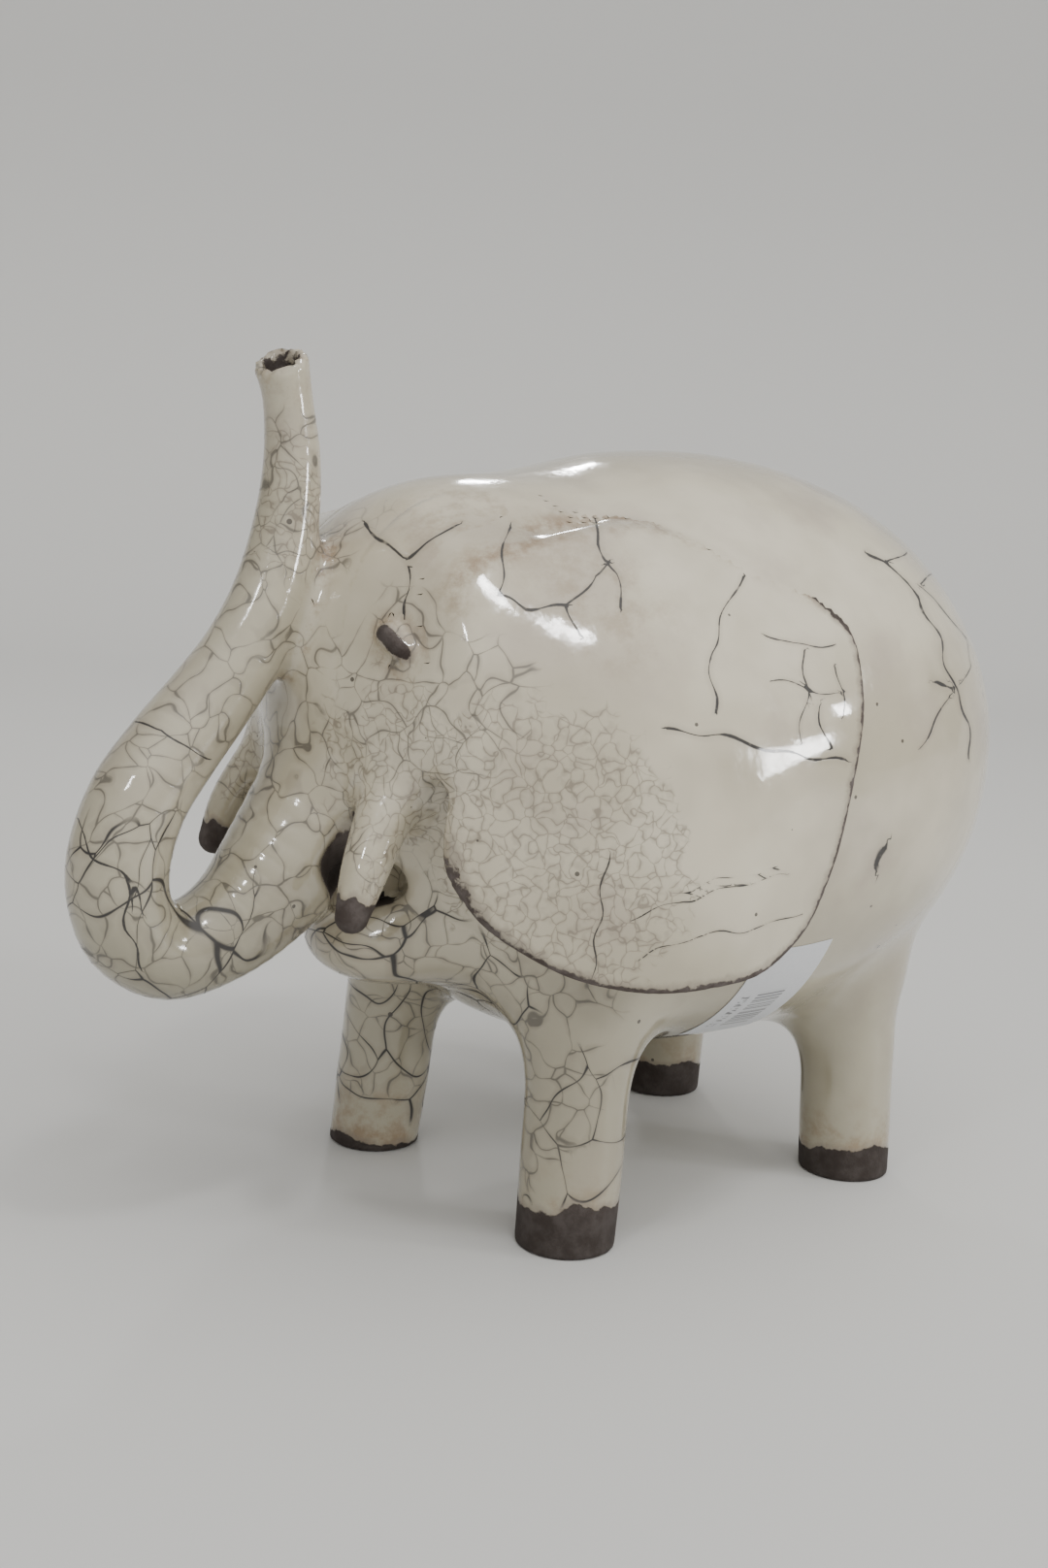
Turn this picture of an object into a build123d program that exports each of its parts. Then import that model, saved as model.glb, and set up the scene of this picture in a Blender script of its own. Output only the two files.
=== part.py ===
from build123d import *
from math import cos, radians, sin, sqrt
import os

# Hand-built hollow ceramic elephant with a raised trunk.
# Millimetres, +X is forward, +Y is the animal's left, +Z is up.
# The origin is on the table plane, under the middle of the whole elephant.

# --- driving dimensions ---------------------------------------------------
axis_height = 128.0        # height of the body's long axis above the table
body_center_x = -39.0
body_half_length = 105.0
body_radius = 87.5
body_fullness = 2.25       # 2 is an ellipse, larger is boxier
clay_wall = 6.0

head_center_x = 47.0
head_height = 156.0
head_half_length = 40.5
head_radius = 45.0
muzzle_center_x = 55.0
muzzle_height = 134.0
muzzle_radius = 27.0
muzzle_half_width = 37.0

neck_opening_radius = 27.0
neck_opening_height = 148.0
neck_opening_start_x = 22.0

jaw_center_x = 55.0
jaw_height = 80.0
jaw_radius = 22.0
jaw_half_height = 14.0
mouth_center_x = 73.0
mouth_height = 96.5
mouth_length = 26.0
mouth_opening = 9.0

# trunk centre line: (x, y, z, outer radius), from inside the face to the tip
trunk_stations = [
    (55, 0, 136, 24.0),
    (71, 0, 122, 20.5),
    (86, 0, 103, 17.5),
    (97, 0, 91, 14.8),
    (108, 0, 84, 13.2),
    (119, 0, 81.5, 12.8),
    (128, 0, 86, 12.9),
    (133, 0, 95, 13.0),
    (133.5, 0, 107, 13.1),
    (129, 0, 121, 12.9),
    (120.5, 0, 133, 12.3),
    (110.5, 0, 145, 11.6),
    (101.5, 0, 157, 10.8),
    (95, 0, 170, 10.0),
    (91, 0, 183, 9.4),
    (88.8, 0, 196, 8.8),
    (88.6, 0, 209, 8.0),
    (90.4, 0, 222, 7.4),
    (93, 0, 233, 7.2),
]
trunk_wall_share = 0.36    # clay wall as a share of the outer radius
rim_round = 1.0

ear_thickness = 4.6
ear_half_span = 90.0           # centre plane to the ear's middle surface at its widest
ear_flare_start_x = -1.0       # forward of here the ear turns in towards the cheek
ear_flare_length = 74.0
ear_flare_depth = 40.0
ear_shoulder_height = 124.0    # above here the ear follows the round of the flank
ear_shoulder_radius = 84.0
ear_hem_height = 112.0         # below here the ear curls in a little
ear_hem_curl = 0.0014
ear_grid_low = (-49.0, 72.0)   # lowest x and z of the sections the slab is lofted through
ear_section_step = (12.0, 16.0)
ear_section_count = (12, 9)
ear_cut_depth = 150.0
# ear outline: (x, z), from the front of the top edge, over the back, to the cheek
ear_outline = [
    (65, 180),
    (47, 189),
    (29, 194),
    (12, 196),
    (-3, 192),
    (-16, 185),
    (-31, 178),
    (-38, 169),
    (-36, 157),
    (-32, 142),
    (-29, 126),
    (-26, 110),
    (-19, 94),
    (-5, 84),
    (11, 81),
    (29, 80),
    (44, 83),
    (57, 90),
    (66, 99),
    (71, 112),
    (70, 135),
    (69, 160),
]
right_ear_raise = 6.0      # the far ear was pressed on a little higher

# tusk centre line: (x, y, z, radius), from inside the cheek to the tip
tusk_stations = [
    (68, 27, 131, 9.5),
    (77, 31.5, 118, 7.8),
    (84, 35, 106, 6.7),
    (88.5, 37, 96, 5.6),
]
right_tusk_raise = 6.0

eye_upper = (77.2, 31.4, 165.1)
eye_lower = (73.2, 33.9, 160.9)
eye_radius = 3.6
right_eye_raise = 3.0

foot_radius = 14.0
leg_top_radius = 15.0
leg_top_height = 90.0
leg_joint_round = 12.0
leg_joint_span = (50.0, 90.0)   # heights between which the leg meets the belly
foot_edge_round = 1.0
# (name, foot x, foot y, top x, top y)
legs = [
    ("front_left_leg", 21.5, 46, 14.5, 41),
    ("front_right_leg", 25, -47, 19, -42),
    ("rear_left_leg", -90, 44, -88, 39),
    ("rear_right_leg", -90, -44, -87.5, -39.5),
]

# tail centre line: (x, y, z, radius), from inside the rump to the tip
tail_stations = [
    (-122.5, 25, 173.5, 5.4),
    (-134.5, 29, 158, 5.0),
    (-140, 29, 142, 4.7),
    (-142.5, 26, 125, 4.4),
    (-141.5, 21, 107, 4.2),
    (-138, 16, 91, 4.0),
    (-134, 13, 78, 3.6),
]

label_length = 50.0
label_width = 25.0
label_thickness = 0.4
label_x = -32.0
label_turn = 95.0          # roll of the label on the flank, degrees
label_drop = 46.0          # how far round under the flank it sits, degrees
label_reach_through = 40.0

os.makedirs("parts", exist_ok=True)


# --- forms shared by several pieces ---------------------------------------
def egg_radius(reach, radius, fullness):
    """Radius of an egg at a share of its half length from the middle."""
    return radius * (1 - abs(reach) ** fullness) ** (1 / fullness)


def egg_form(plane, half_length, radius, fullness=2.0):
    """Closed egg turned about the X direction of the plane."""
    reaches = [-cos(radians(15 * step)) for step in range(13)]
    points = [(reach * half_length, egg_radius(reach, radius, fullness)) for reach in reaches]
    with BuildPart() as form:
        with BuildSketch(plane):
            with BuildLine():
                Spline(points, tangents=[(0, 1), (0, -1)])
                Line(points[-1], points[0])
            make_face()
        revolve(axis=Axis(plane.origin, plane.x_dir))
    return form.part


def body_form(inset):
    """The body egg, pulled in by inset on every side."""
    plane = Plane((body_center_x, 0, axis_height), x_dir=(1, 0, 0), z_dir=(0, -1, 0))
    return egg_form(plane, body_half_length - inset, body_radius - inset, body_fullness)


def head_form(inset):
    """Skull egg turned about X joined to a muzzle egg turned about Y."""
    skull_plane = Plane((head_center_x, 0, head_height), x_dir=(1, 0, 0), z_dir=(0, -1, 0))
    muzzle_plane = Plane((muzzle_center_x, 0, muzzle_height), x_dir=(0, 1, 0), z_dir=(1, 0, 0))
    skull = egg_form(skull_plane, head_half_length - inset, head_radius - inset)
    muzzle = egg_form(muzzle_plane, muzzle_half_width - inset, muzzle_radius - inset)
    with BuildPart() as form:
        add(skull)
        add(muzzle)
    return form.part


def coil_form(stations, share=1.0):
    """Loft through circles set square to a centre line of (x, y, z, radius)."""
    last = len(stations) - 1
    with BuildPart() as form:
        for index, (x, y, z, radius) in enumerate(stations):
            before = Vector(*stations[max(index - 1, 0)][:3])
            after = Vector(*stations[min(index + 1, last)][:3])
            with BuildSketch(Plane((x, y, z), x_dir=(0, 1, 0), z_dir=after - before)):
                Circle(radius * share)
        loft()
    return form.part


def rounded_coil_form(stations):
    """Coil closed by a ball at its last station."""
    coil = coil_form(stations)
    x, y, z, radius = stations[-1]
    with BuildPart() as form:
        add(coil)
        with Locations((x, y, z)):
            Sphere(radius)
    return form.part


def ear_side(x, z, offset):
    """Distance from the centre plane of a surface offset square to the ear's middle."""
    flare = max((x - ear_flare_start_x) / ear_flare_length, 0)
    reach = ear_half_span - ear_flare_depth * flare ** 2
    rise = max(z - ear_shoulder_height, 0) / ear_shoulder_radius
    shrink = sqrt(1 - rise ** 2)
    slope_x = 2 * ear_flare_depth * flare / ear_flare_length * shrink
    slope_z = reach * rise / (ear_shoulder_radius * shrink)
    middle = reach * shrink - ear_hem_curl * max(ear_hem_height - z, 0) ** 2
    return middle + offset * sqrt(1 + slope_x ** 2 + slope_z ** 2)


def ear_form(raise_by):
    """Rolled slab following the flank above, hanging plumb below."""
    columns = [ear_grid_low[0] + ear_section_step[0] * step for step in range(ear_section_count[0])]
    levels = [ear_grid_low[1] + ear_section_step[1] * step for step in range(ear_section_count[1])]
    with BuildPart() as form:
        for z in levels:
            outer = [(x, ear_side(x, z, ear_thickness / 2)) for x in columns]
            inner = [(x, ear_side(x, z, -ear_thickness / 2)) for x in columns]
            with BuildSketch(Plane.XY.offset(z + raise_by)):
                with BuildLine():
                    Spline(outer)
                    Line(outer[-1], inner[-1])
                    Spline(inner)
                    Line(inner[0], outer[0])
                make_face()
        loft()
        with BuildSketch(Plane.XZ.offset(-ear_cut_depth)):
            with BuildLine():
                Spline([(x, z + raise_by) for x, z in ear_outline], periodic=True)
            make_face()
        extrude(amount=ear_cut_depth, mode=Mode.INTERSECT)
    return form.part


def tusk_form(raise_by):
    """Tapered coil with a rounded tip, curving down from the cheek."""
    return rounded_coil_form([(x, y, z + raise_by, radius) for x, y, z, radius in tusk_stations])


def eye_form(raise_by):
    """Short rolled pellet with round ends."""
    upper = Vector(*eye_upper) + Vector(0, 0, raise_by)
    lower = Vector(*eye_lower) + Vector(0, 0, raise_by)
    with BuildPart() as form:
        with BuildSketch(Plane(lower, z_dir=upper - lower)):
            Circle(eye_radius)
        extrude(amount=(upper - lower).length)
        with Locations(upper, lower):
            Sphere(eye_radius)
    return form.part


body_solid = body_form(0)
body_hollow = body_form(clay_wall)
head_solid = head_form(0)
head_hollow = head_form(clay_wall)
trunk_solid = coil_form(trunk_stations)
trunk_bore = coil_form(trunk_stations, share=1 - trunk_wall_share)
with BuildPart() as mouth_slot:
    with BuildSketch(Plane.XZ):
        with Locations((mouth_center_x, mouth_height)):
            SlotOverall(mouth_length, mouth_opening)
    extrude(amount=2 * jaw_radius, both=True)

# --- trunk: hollow coil curling under and up against the forehead -----------
with BuildPart() as trunk:
    add(trunk_solid)
    add(trunk_bore, mode=Mode.SUBTRACT)
    add(head_solid, mode=Mode.SUBTRACT)
    add(body_solid, mode=Mode.SUBTRACT)
    add(mouth_slot.part, mode=Mode.SUBTRACT)
    fillet(trunk.faces().sort_by(Axis.Z)[-1].edges(), radius=rim_round)
trunk.part.label = "trunk"
export_step(trunk.part, "parts/trunk.step")

# --- lower jaw: pad of clay under the mouth ---------------------------------
jaw_plane = Plane((jaw_center_x, 0, jaw_height), x_dir=(0, 0, 1), z_dir=(0, 1, 0))
jaw_pad = egg_form(jaw_plane, jaw_half_height, jaw_radius)
with BuildPart() as lower_jaw:
    add(jaw_pad)
    for neighbour in (body_solid, head_solid, trunk_solid, mouth_slot.part):
        add(neighbour, mode=Mode.SUBTRACT)
lower_jaw.part.label = "lower_jaw"
export_step(lower_jaw.part, "parts/lower_jaw.step")

# --- body: one hollow egg, open at the neck into the head -------------------
with BuildPart() as body_shell:
    add(body_solid)
    add(body_hollow, mode=Mode.SUBTRACT)
    with BuildSketch(Plane.YZ.offset(neck_opening_start_x)):
        with Locations((0, neck_opening_height)):
            Circle(neck_opening_radius)
    extrude(amount=body_half_length, mode=Mode.SUBTRACT)
body_shell.part.label = "body_shell"
export_step(body_shell.part, "parts/body_shell.step")

# --- head: hollow skull and muzzle, luted to the front of the body ----------
with BuildPart() as head_shell:
    add(head_solid)
    add(head_hollow, mode=Mode.SUBTRACT)
    add(body_solid, mode=Mode.SUBTRACT)
    add(trunk_bore, mode=Mode.SUBTRACT)
head_shell.part.label = "head_shell"
export_step(head_shell.part, "parts/head_shell.step")

# --- ears, tusks and eyes: the right ones are mirrored and set a little higher
left_forms = {
    "left_ear": ear_form(0),
    "left_tusk": tusk_form(0),
    "left_eye": eye_form(0),
}
right_forms = {
    "right_ear": mirror(ear_form(right_ear_raise), about=Plane.XZ),
    "right_tusk": mirror(tusk_form(right_tusk_raise), about=Plane.XZ),
    "right_eye": mirror(eye_form(right_eye_raise), about=Plane.XZ),
}
for side_forms in (left_forms, right_forms):
    for attachment_name, form in side_forms.items():
        with BuildPart() as attachment:
            add(form)
            add(head_solid, mode=Mode.SUBTRACT)
            add(body_solid, mode=Mode.SUBTRACT)
        attachment.part.label = attachment_name
        export_step(attachment.part, f"parts/{attachment_name}.step")

# --- legs: four tapered posts, each smoothed into the belly -----------------
for leg_name, foot_x, foot_y, top_x, top_y in legs:
    with BuildPart() as leg:
        add(body_solid)
        with BuildSketch():
            with Locations((foot_x, foot_y)):
                Circle(foot_radius)
        with BuildSketch(Plane.XY.offset(leg_top_height)):
            with Locations((top_x, top_y)):
                Circle(leg_top_radius)
        loft()
        fillet(leg.edges().filter_by_position(Axis.Z, *leg_joint_span), radius=leg_joint_round)
        fillet(leg.faces().sort_by(Axis.Z)[0].edges(), radius=foot_edge_round)
        add(body_solid, mode=Mode.SUBTRACT)
    leg.part.label = leg_name
    export_step(leg.part, f"parts/{leg_name}.step")

# --- tail: thin coil laid down the rump -------------------------------------
tail_coil = rounded_coil_form(tail_stations)
with BuildPart() as tail:
    add(tail_coil)
    add(body_solid, mode=Mode.SUBTRACT)
tail.part.label = "tail"
export_step(tail.part, "parts/tail.step")

# --- price label: blank paper sticker following the lower flank -------------
label_normal = (0, cos(radians(label_drop)), -sin(radians(label_drop)))
label_reach = (label_x - body_center_x) / body_half_length
label_depth = egg_radius(label_reach, body_radius, body_fullness)
label_center = Vector(label_x, 0, axis_height) + Vector(*label_normal) * label_depth
label_plane = Plane(label_center, x_dir=(1, 0, 0), z_dir=label_normal).rotated((0, 0, label_turn))
label_skin = body_form(-label_thickness)
with BuildPart() as price_label:
    with BuildSketch(label_plane):
        Rectangle(label_length, label_width)
    extrude(amount=label_reach_through / 2, both=True)
    add(label_skin, mode=Mode.INTERSECT)
    add(body_solid, mode=Mode.SUBTRACT)
price_label.part.label = "price_label"
export_step(price_label.part, "parts/price_label.step")
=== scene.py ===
import math

import bpy
import numpy as np
from mathutils import Matrix, Vector


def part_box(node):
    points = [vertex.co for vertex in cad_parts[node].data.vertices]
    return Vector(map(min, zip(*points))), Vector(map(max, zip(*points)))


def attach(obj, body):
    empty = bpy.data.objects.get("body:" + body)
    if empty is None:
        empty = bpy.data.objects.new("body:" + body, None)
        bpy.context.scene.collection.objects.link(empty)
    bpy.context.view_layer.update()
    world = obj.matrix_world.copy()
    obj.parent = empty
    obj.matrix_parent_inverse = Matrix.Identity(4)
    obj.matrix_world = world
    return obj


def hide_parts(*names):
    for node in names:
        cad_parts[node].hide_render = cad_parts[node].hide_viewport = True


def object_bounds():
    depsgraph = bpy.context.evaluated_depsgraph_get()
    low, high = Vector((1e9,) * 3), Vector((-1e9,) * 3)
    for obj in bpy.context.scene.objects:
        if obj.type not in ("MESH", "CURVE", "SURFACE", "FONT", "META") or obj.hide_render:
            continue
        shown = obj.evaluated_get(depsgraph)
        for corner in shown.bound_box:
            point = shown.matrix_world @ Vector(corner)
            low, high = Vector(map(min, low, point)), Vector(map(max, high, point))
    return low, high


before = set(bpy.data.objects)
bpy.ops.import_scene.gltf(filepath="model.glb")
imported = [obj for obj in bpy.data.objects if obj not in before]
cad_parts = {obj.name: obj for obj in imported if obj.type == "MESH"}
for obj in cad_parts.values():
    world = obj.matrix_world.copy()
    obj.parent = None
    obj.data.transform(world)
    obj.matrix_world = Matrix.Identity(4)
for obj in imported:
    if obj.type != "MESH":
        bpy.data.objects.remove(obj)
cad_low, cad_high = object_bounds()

# ---------------------------------------------------------------------------
# Body: one hollow egg of pinched and coiled pale clay. It is smoke fired: a
# clear glaze that crazes as it cools, with soot drawn into every crack.
# Forms are worked in millimetres and given as distance to the clay's skin.
# ---------------------------------------------------------------------------
MM = 1000.0


def node_box(name):
    """Lowest and highest corner of a CAD node in millimetres."""
    low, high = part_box(name)
    return np.array(low) * MM, np.array(high) * MM


def ease(value, start, end):
    """Smooth step from 0 at start to 1 at end."""
    t = np.clip((value - start) / (end - start), 0, 1)
    return t * t * (3 - 2 * t)


def join(a, b, reach):
    """Union of two distances with a fillet of about that reach."""
    t = np.clip(0.5 + 0.5 * (b - a) / reach, 0, 1)
    return b + (a - b) * t - reach * t * (1 - t)


def carve(a, b, reach):
    """Distance a with b cut out of it."""
    return -join(-a, b, reach)


def egg(points, center, half_length, radius, fullness):
    """Solid of revolution about X, boxier than an ellipse when fullness is over 2."""
    along = np.abs(points[:, 0] - center[0]) / half_length
    around = np.hypot(points[:, 1] - center[1], points[:, 2] - center[2]) / radius
    size = np.maximum((along ** fullness + around ** fullness) ** (1 / fullness), 1e-6)
    slope_along = (along / size) ** (fullness - 1) / half_length
    slope_around = (around / size) ** (fullness - 1) / radius
    return (size - 1) / np.sqrt(slope_along ** 2 + slope_around ** 2 + 1e-9)


def ball(points, center, radii):
    """Ellipsoid."""
    scaled = (points - center) / radii
    size = np.linalg.norm(scaled, axis=1)
    return size * (size - 1) / np.maximum(np.linalg.norm(scaled / radii, axis=1), 1e-9)


def close_to(points, low, high, margin, form):
    """form(points) near its box, and the distance to the box farther out."""
    outside = np.maximum(np.maximum(low - points, points - high), 0)
    distance = np.linalg.norm(outside, axis=1)
    chosen = distance < margin
    if chosen.any():
        distance[chosen] = form(points[chosen])
    return distance


def curve_through(stations, steps):
    """Catmull-Rom curve through rows of numbers."""
    rows = np.array(stations, float)
    rows = np.vstack([2 * rows[0] - rows[1], rows, 2 * rows[-1] - rows[-2]])
    share = (np.arange(steps) / steps)[:, None]
    spans = []
    for a, b, c, d in zip(rows[:-3], rows[1:-2], rows[2:-1], rows[3:]):
        bend = (2 * a - 5 * b + 4 * c - d) * share ** 2 + (-a + 3 * b - 3 * c + d) * share ** 3
        spans.append(0.5 * (2 * b + (c - a) * share + bend))
    return np.vstack(spans + [rows[-2:-1]])


def coil(points, line):
    """Distance to a round coil along rows of (x, y, z, radius)."""
    nearest = np.full(len(points), 1e6)
    for (start, end) in zip(line[:-1], line[1:]):
        run = end[:3] - start[:3]
        share = np.clip((points - start[:3]) @ run / (run @ run), 0, 1)
        away = np.linalg.norm(points - start[:3] - share[:, None] * run, axis=1)
        nearest = np.minimum(nearest, away - start[3] - (end[3] - start[3]) * share)
    return nearest


def box_of(line):
    """Box round a coil."""
    reach = line[:, 3:4]
    return (line[:, :3] - reach).min(0), (line[:, :3] + reach).max(0)


def never(points):
    """No bare clay and no stain anywhere."""
    return np.full(len(points), -10.0)


body_low, body_high = node_box("body_shell")
body_center = (body_low + body_high) / 2
body_half = (body_high - body_low) / 2
BODY_FULLNESS = 2.25
# The point on the floor midway between the feet, which the patterns are laid out from.
FEET_AHEAD_OF_BODY = 6.0
feet_middle = np.array([body_center[0] + FEET_AHEAD_OF_BODY, 0.0, 0.0])


def body_form(points):
    return egg(points, body_center, body_half[0], body_half[2], BODY_FULLNESS)


# --- shader helpers --------------------------------------------------------
def put(tree, kind, inputs=None, **settings):
    """One shader node with its settings, links and values."""
    made = tree.nodes.new("ShaderNode" + kind)
    for name, value in settings.items():
        setattr(made, name, value)
    for name, value in (inputs or {}).items():
        if isinstance(value, bpy.types.NodeSocket):
            tree.links.new(value, made.inputs[name])
        else:
            made.inputs[name].default_value = value
    return made


def calc(tree, operation, *values, clamp=False):
    """Output of a Math node."""
    return put(tree, "Math", dict(enumerate(values)), operation=operation, use_clamp=clamp).outputs[0]


def vector_calc(tree, operation, *values, output=0):
    """Output of a Vector Math node."""
    return put(tree, "VectorMath", dict(enumerate(values)), operation=operation).outputs[output]


def ramp(tree, value, start, end, low=0.0, high=1.0):
    """Smooth step of a value between two limits."""
    inputs = {"Value": value, "From Min": start, "From Max": end, "To Min": low, "To Max": high}
    return put(tree, "MapRange", inputs, interpolation_type="SMOOTHSTEP").outputs[0]


def blend(tree, factor, a, b, mode="MIX"):
    """Colour mix."""
    made = put(tree, "Mix", {"Factor": factor}, data_type="RGBA", blend_type=mode)
    for socket, value in ((made.inputs[6], a), (made.inputs[7], b)):
        if isinstance(value, bpy.types.NodeSocket):
            tree.links.new(value, socket)
        else:
            socket.default_value = (*value, 1.0)
    return made.outputs[2]


def cloud(tree, position, size, detail=2.0, rough=0.5, output="Fac"):
    """Noise with features of about that size in millimetres."""
    inputs = {"Vector": position, "Scale": 1.0 / size, "Detail": detail, "Roughness": rough}
    return put(tree, "TexNoise", inputs).outputs[output]


def new_group(name, inputs, outputs):
    """Empty node group with named sockets, and its input and output nodes."""
    group = bpy.data.node_groups.new(name, "ShaderNodeTree")
    for socket_name, kind, value in inputs:
        socket = group.interface.new_socket(socket_name, in_out="INPUT", socket_type="NodeSocket" + kind)
        if value is not None:
            socket.default_value = value
    for socket_name, kind in outputs:
        group.interface.new_socket(socket_name, in_out="OUTPUT", socket_type="NodeSocket" + kind)
    return group, group.nodes.new("NodeGroupInput"), group.nodes.new("NodeGroupOutput")


def use(tree, group, inputs):
    """A group node in a tree."""
    made = put(tree, "Group", node_tree=group)
    for name, value in inputs.items():
        if isinstance(value, bpy.types.NodeSocket):
            tree.links.new(value, made.inputs[name])
        else:
            made.inputs[name].default_value = value
    return made


# A soft ball of influence, used to say where on the animal an effect is strong.
soft_ball, ball_in, ball_out = new_group(
    "soft_ball",
    [
        ("Position", "Vector", None),
        ("Center", "Vector", None),
        ("Radius", "Float", 40.0),
        ("Fade", "Float", 20.0),
    ],
    [("Value", "Float")],
)
ball_ends = (ball_in.outputs["Position"], ball_in.outputs["Center"])
ball_distance = vector_calc(soft_ball, "DISTANCE", *ball_ends, output="Value")
ball_edge = calc(soft_ball, "SUBTRACT", ball_in.outputs["Radius"], ball_distance)
ball_share = calc(soft_ball, "DIVIDE", ball_edge, ball_in.outputs["Fade"])
soft_ball.links.new(calc(soft_ball, "ADD", ball_share, 0.5, clamp=True), ball_out.inputs["Value"])

# One net of cracks: cells of a given size, bent and broken up, dark where soot got in.
crack_net, net_in, net_out = new_group(
    "crack_net",
    [
        ("Position", "Vector", None),
        ("Cell", "Float", 10.0),
        ("Width", "Float", 0.3),
        ("Bend", "Float", 2.0),
        ("Amount", "Float", 1.0),
    ],
    [("Mask", "Float"), ("Halo", "Float")],
)
net_scaled = vector_calc(crack_net, "SCALE", net_in.outputs["Position"])
net_scaled.node.inputs["Scale"].default_value = 1.0
crack_net.links.new(calc(crack_net, "DIVIDE", 1.0, net_in.outputs["Cell"]), net_scaled.node.inputs["Scale"])
net_noise = put(crack_net, "TexNoise", {"Vector": net_scaled, "Scale": 0.62, "Detail": 1.6, "Roughness": 0.4})
net_push = vector_calc(crack_net, "SUBTRACT", net_noise.outputs["Color"], (0.5, 0.5, 0.5))
net_bent = vector_calc(crack_net, "SCALE", net_push)
crack_net.links.new(
    calc(crack_net, "DIVIDE", net_in.outputs["Bend"], net_in.outputs["Cell"]), net_bent.node.inputs["Scale"]
)
net_place = vector_calc(crack_net, "ADD", net_scaled, net_bent)
net_cells = put(crack_net, "TexVoronoi", {"Vector": net_place, "Scale": 1.0}, feature="DISTANCE_TO_EDGE")
net_gap = calc(crack_net, "MULTIPLY", net_cells.outputs["Distance"], net_in.outputs["Cell"])
net_patch = put(crack_net, "TexNoise", {"Vector": net_scaled, "Scale": 0.55, "Detail": 2.0})
net_presence = calc(crack_net, "ADD", net_patch.outputs["Fac"], net_in.outputs["Amount"])
net_strength = ramp(crack_net, net_presence, 0.92, 1.12)
net_vary = put(crack_net, "TexNoise", {"Vector": net_scaled, "Scale": 1.9, "Detail": 1.0})
net_swell = ramp(crack_net, net_vary.outputs["Fac"], 0.34, 0.68, 0.30, 1.4)
net_width = calc(crack_net, "MULTIPLY", net_in.outputs["Width"], net_swell)
net_line = ramp(crack_net, calc(crack_net, "DIVIDE", net_gap, net_width), 1.0, 0.25)
net_soft = ramp(crack_net, calc(crack_net, "DIVIDE", net_gap, net_width), 5.0, 0.0)
crack_net.links.new(calc(crack_net, "MULTIPLY", net_line, net_strength), net_out.inputs["Mask"])
crack_net.links.new(calc(crack_net, "MULTIPLY", net_soft, net_strength), net_out.inputs["Halo"])

# All the crazing of the glaze. Cells are small on cheeks and lower ears, larger on
# the chest and trunk, and rare on the back and rump. A zone is (center, radius, fade),
# and a net is (cell size, line width, bend, reach).
CRAZING_ZONES = {
    "fine": [((92, 66, 112), 44, 24), ((104, 34, 132), 26, 26), ((126, 0, 196), 20, 26)],
    "medium": [
        ((150, 0, 108), 52, 22),
        ((122, 0, 195), 26, 20),
        ((136, 0, 155), 26, 20),
        ((80, 20, 60), 52, 24),
        ((100, 40, 150), 30, 20),
    ],
    "bold": [((86, 6, 52), 50, 20), ((160, 0, 92), 34, 18), ((52, 46, 36), 30, 14)],
}
CRAZING_NETS = {
    "fine": (4.0, 0.19, 9.0, 0.82),
    "medium": (10.0, 0.30, 24.0, 0.78),
    "bold": (22.0, 0.48, 50.0, 0.74),
}
raku_crazing, crazing_in, crazing_out = new_group(
    "raku_crazing",
    [("Position", "Vector", None)],
    [("Fine", "Float"), ("Medium", "Float"), ("Bold", "Float"), ("Halo", "Float")],
)
crazing_split = put(raku_crazing, "SeparateXYZ", {"Vector": crazing_in.outputs["Position"]})
crazing_side = calc(raku_crazing, "ABSOLUTE", crazing_split.outputs["Y"])
crazing_folded = {"X": crazing_split.outputs["X"], "Y": crazing_side, "Z": crazing_split.outputs["Z"]}
crazing_mirror = put(raku_crazing, "CombineXYZ", crazing_folded).outputs[0]
crazing_halo = 0.0
for crazing_name, (cell, width, bend, reach) in CRAZING_NETS.items():
    amount = 0.0
    for center, radius, fade in CRAZING_ZONES[crazing_name]:
        zone_inputs = {"Position": crazing_mirror, "Center": center, "Radius": radius, "Fade": fade}
        zone = use(raku_crazing, soft_ball, zone_inputs)
        amount = calc(raku_crazing, "MAXIMUM", zone.outputs["Value"], amount)
    net = use(
        raku_crazing,
        crack_net,
        {
            "Position": crazing_in.outputs["Position"],
            "Cell": cell,
            "Width": width,
            "Bend": bend,
            "Amount": calc(raku_crazing, "MULTIPLY", amount, reach),
        },
    )
    raku_crazing.links.new(net.outputs["Mask"], crazing_out.inputs[crazing_name.capitalize()])
    crazing_halo = calc(raku_crazing, "MAXIMUM", net.outputs["Halo"], crazing_halo)
raku_crazing.links.new(crazing_halo, crazing_out.inputs["Halo"])

# The glaze itself: cream with grey, green and brown drifts, and iron specks. Towards the belly and legs it is
# painted darker as shade; towards the trunk and face it takes a green tint that is partly painted shade.
GLAZE_CREAM = (0.48, 0.432, 0.325)
GLAZE_PALE = (0.62, 0.568, 0.445)
GLAZE_GREEN_AND_SHADE = (0.25, 0.232, 0.165)
GLAZE_BROWN = (0.25, 0.17, 0.095)
GLAZE_PINK = (0.41, 0.35, 0.285)
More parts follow.
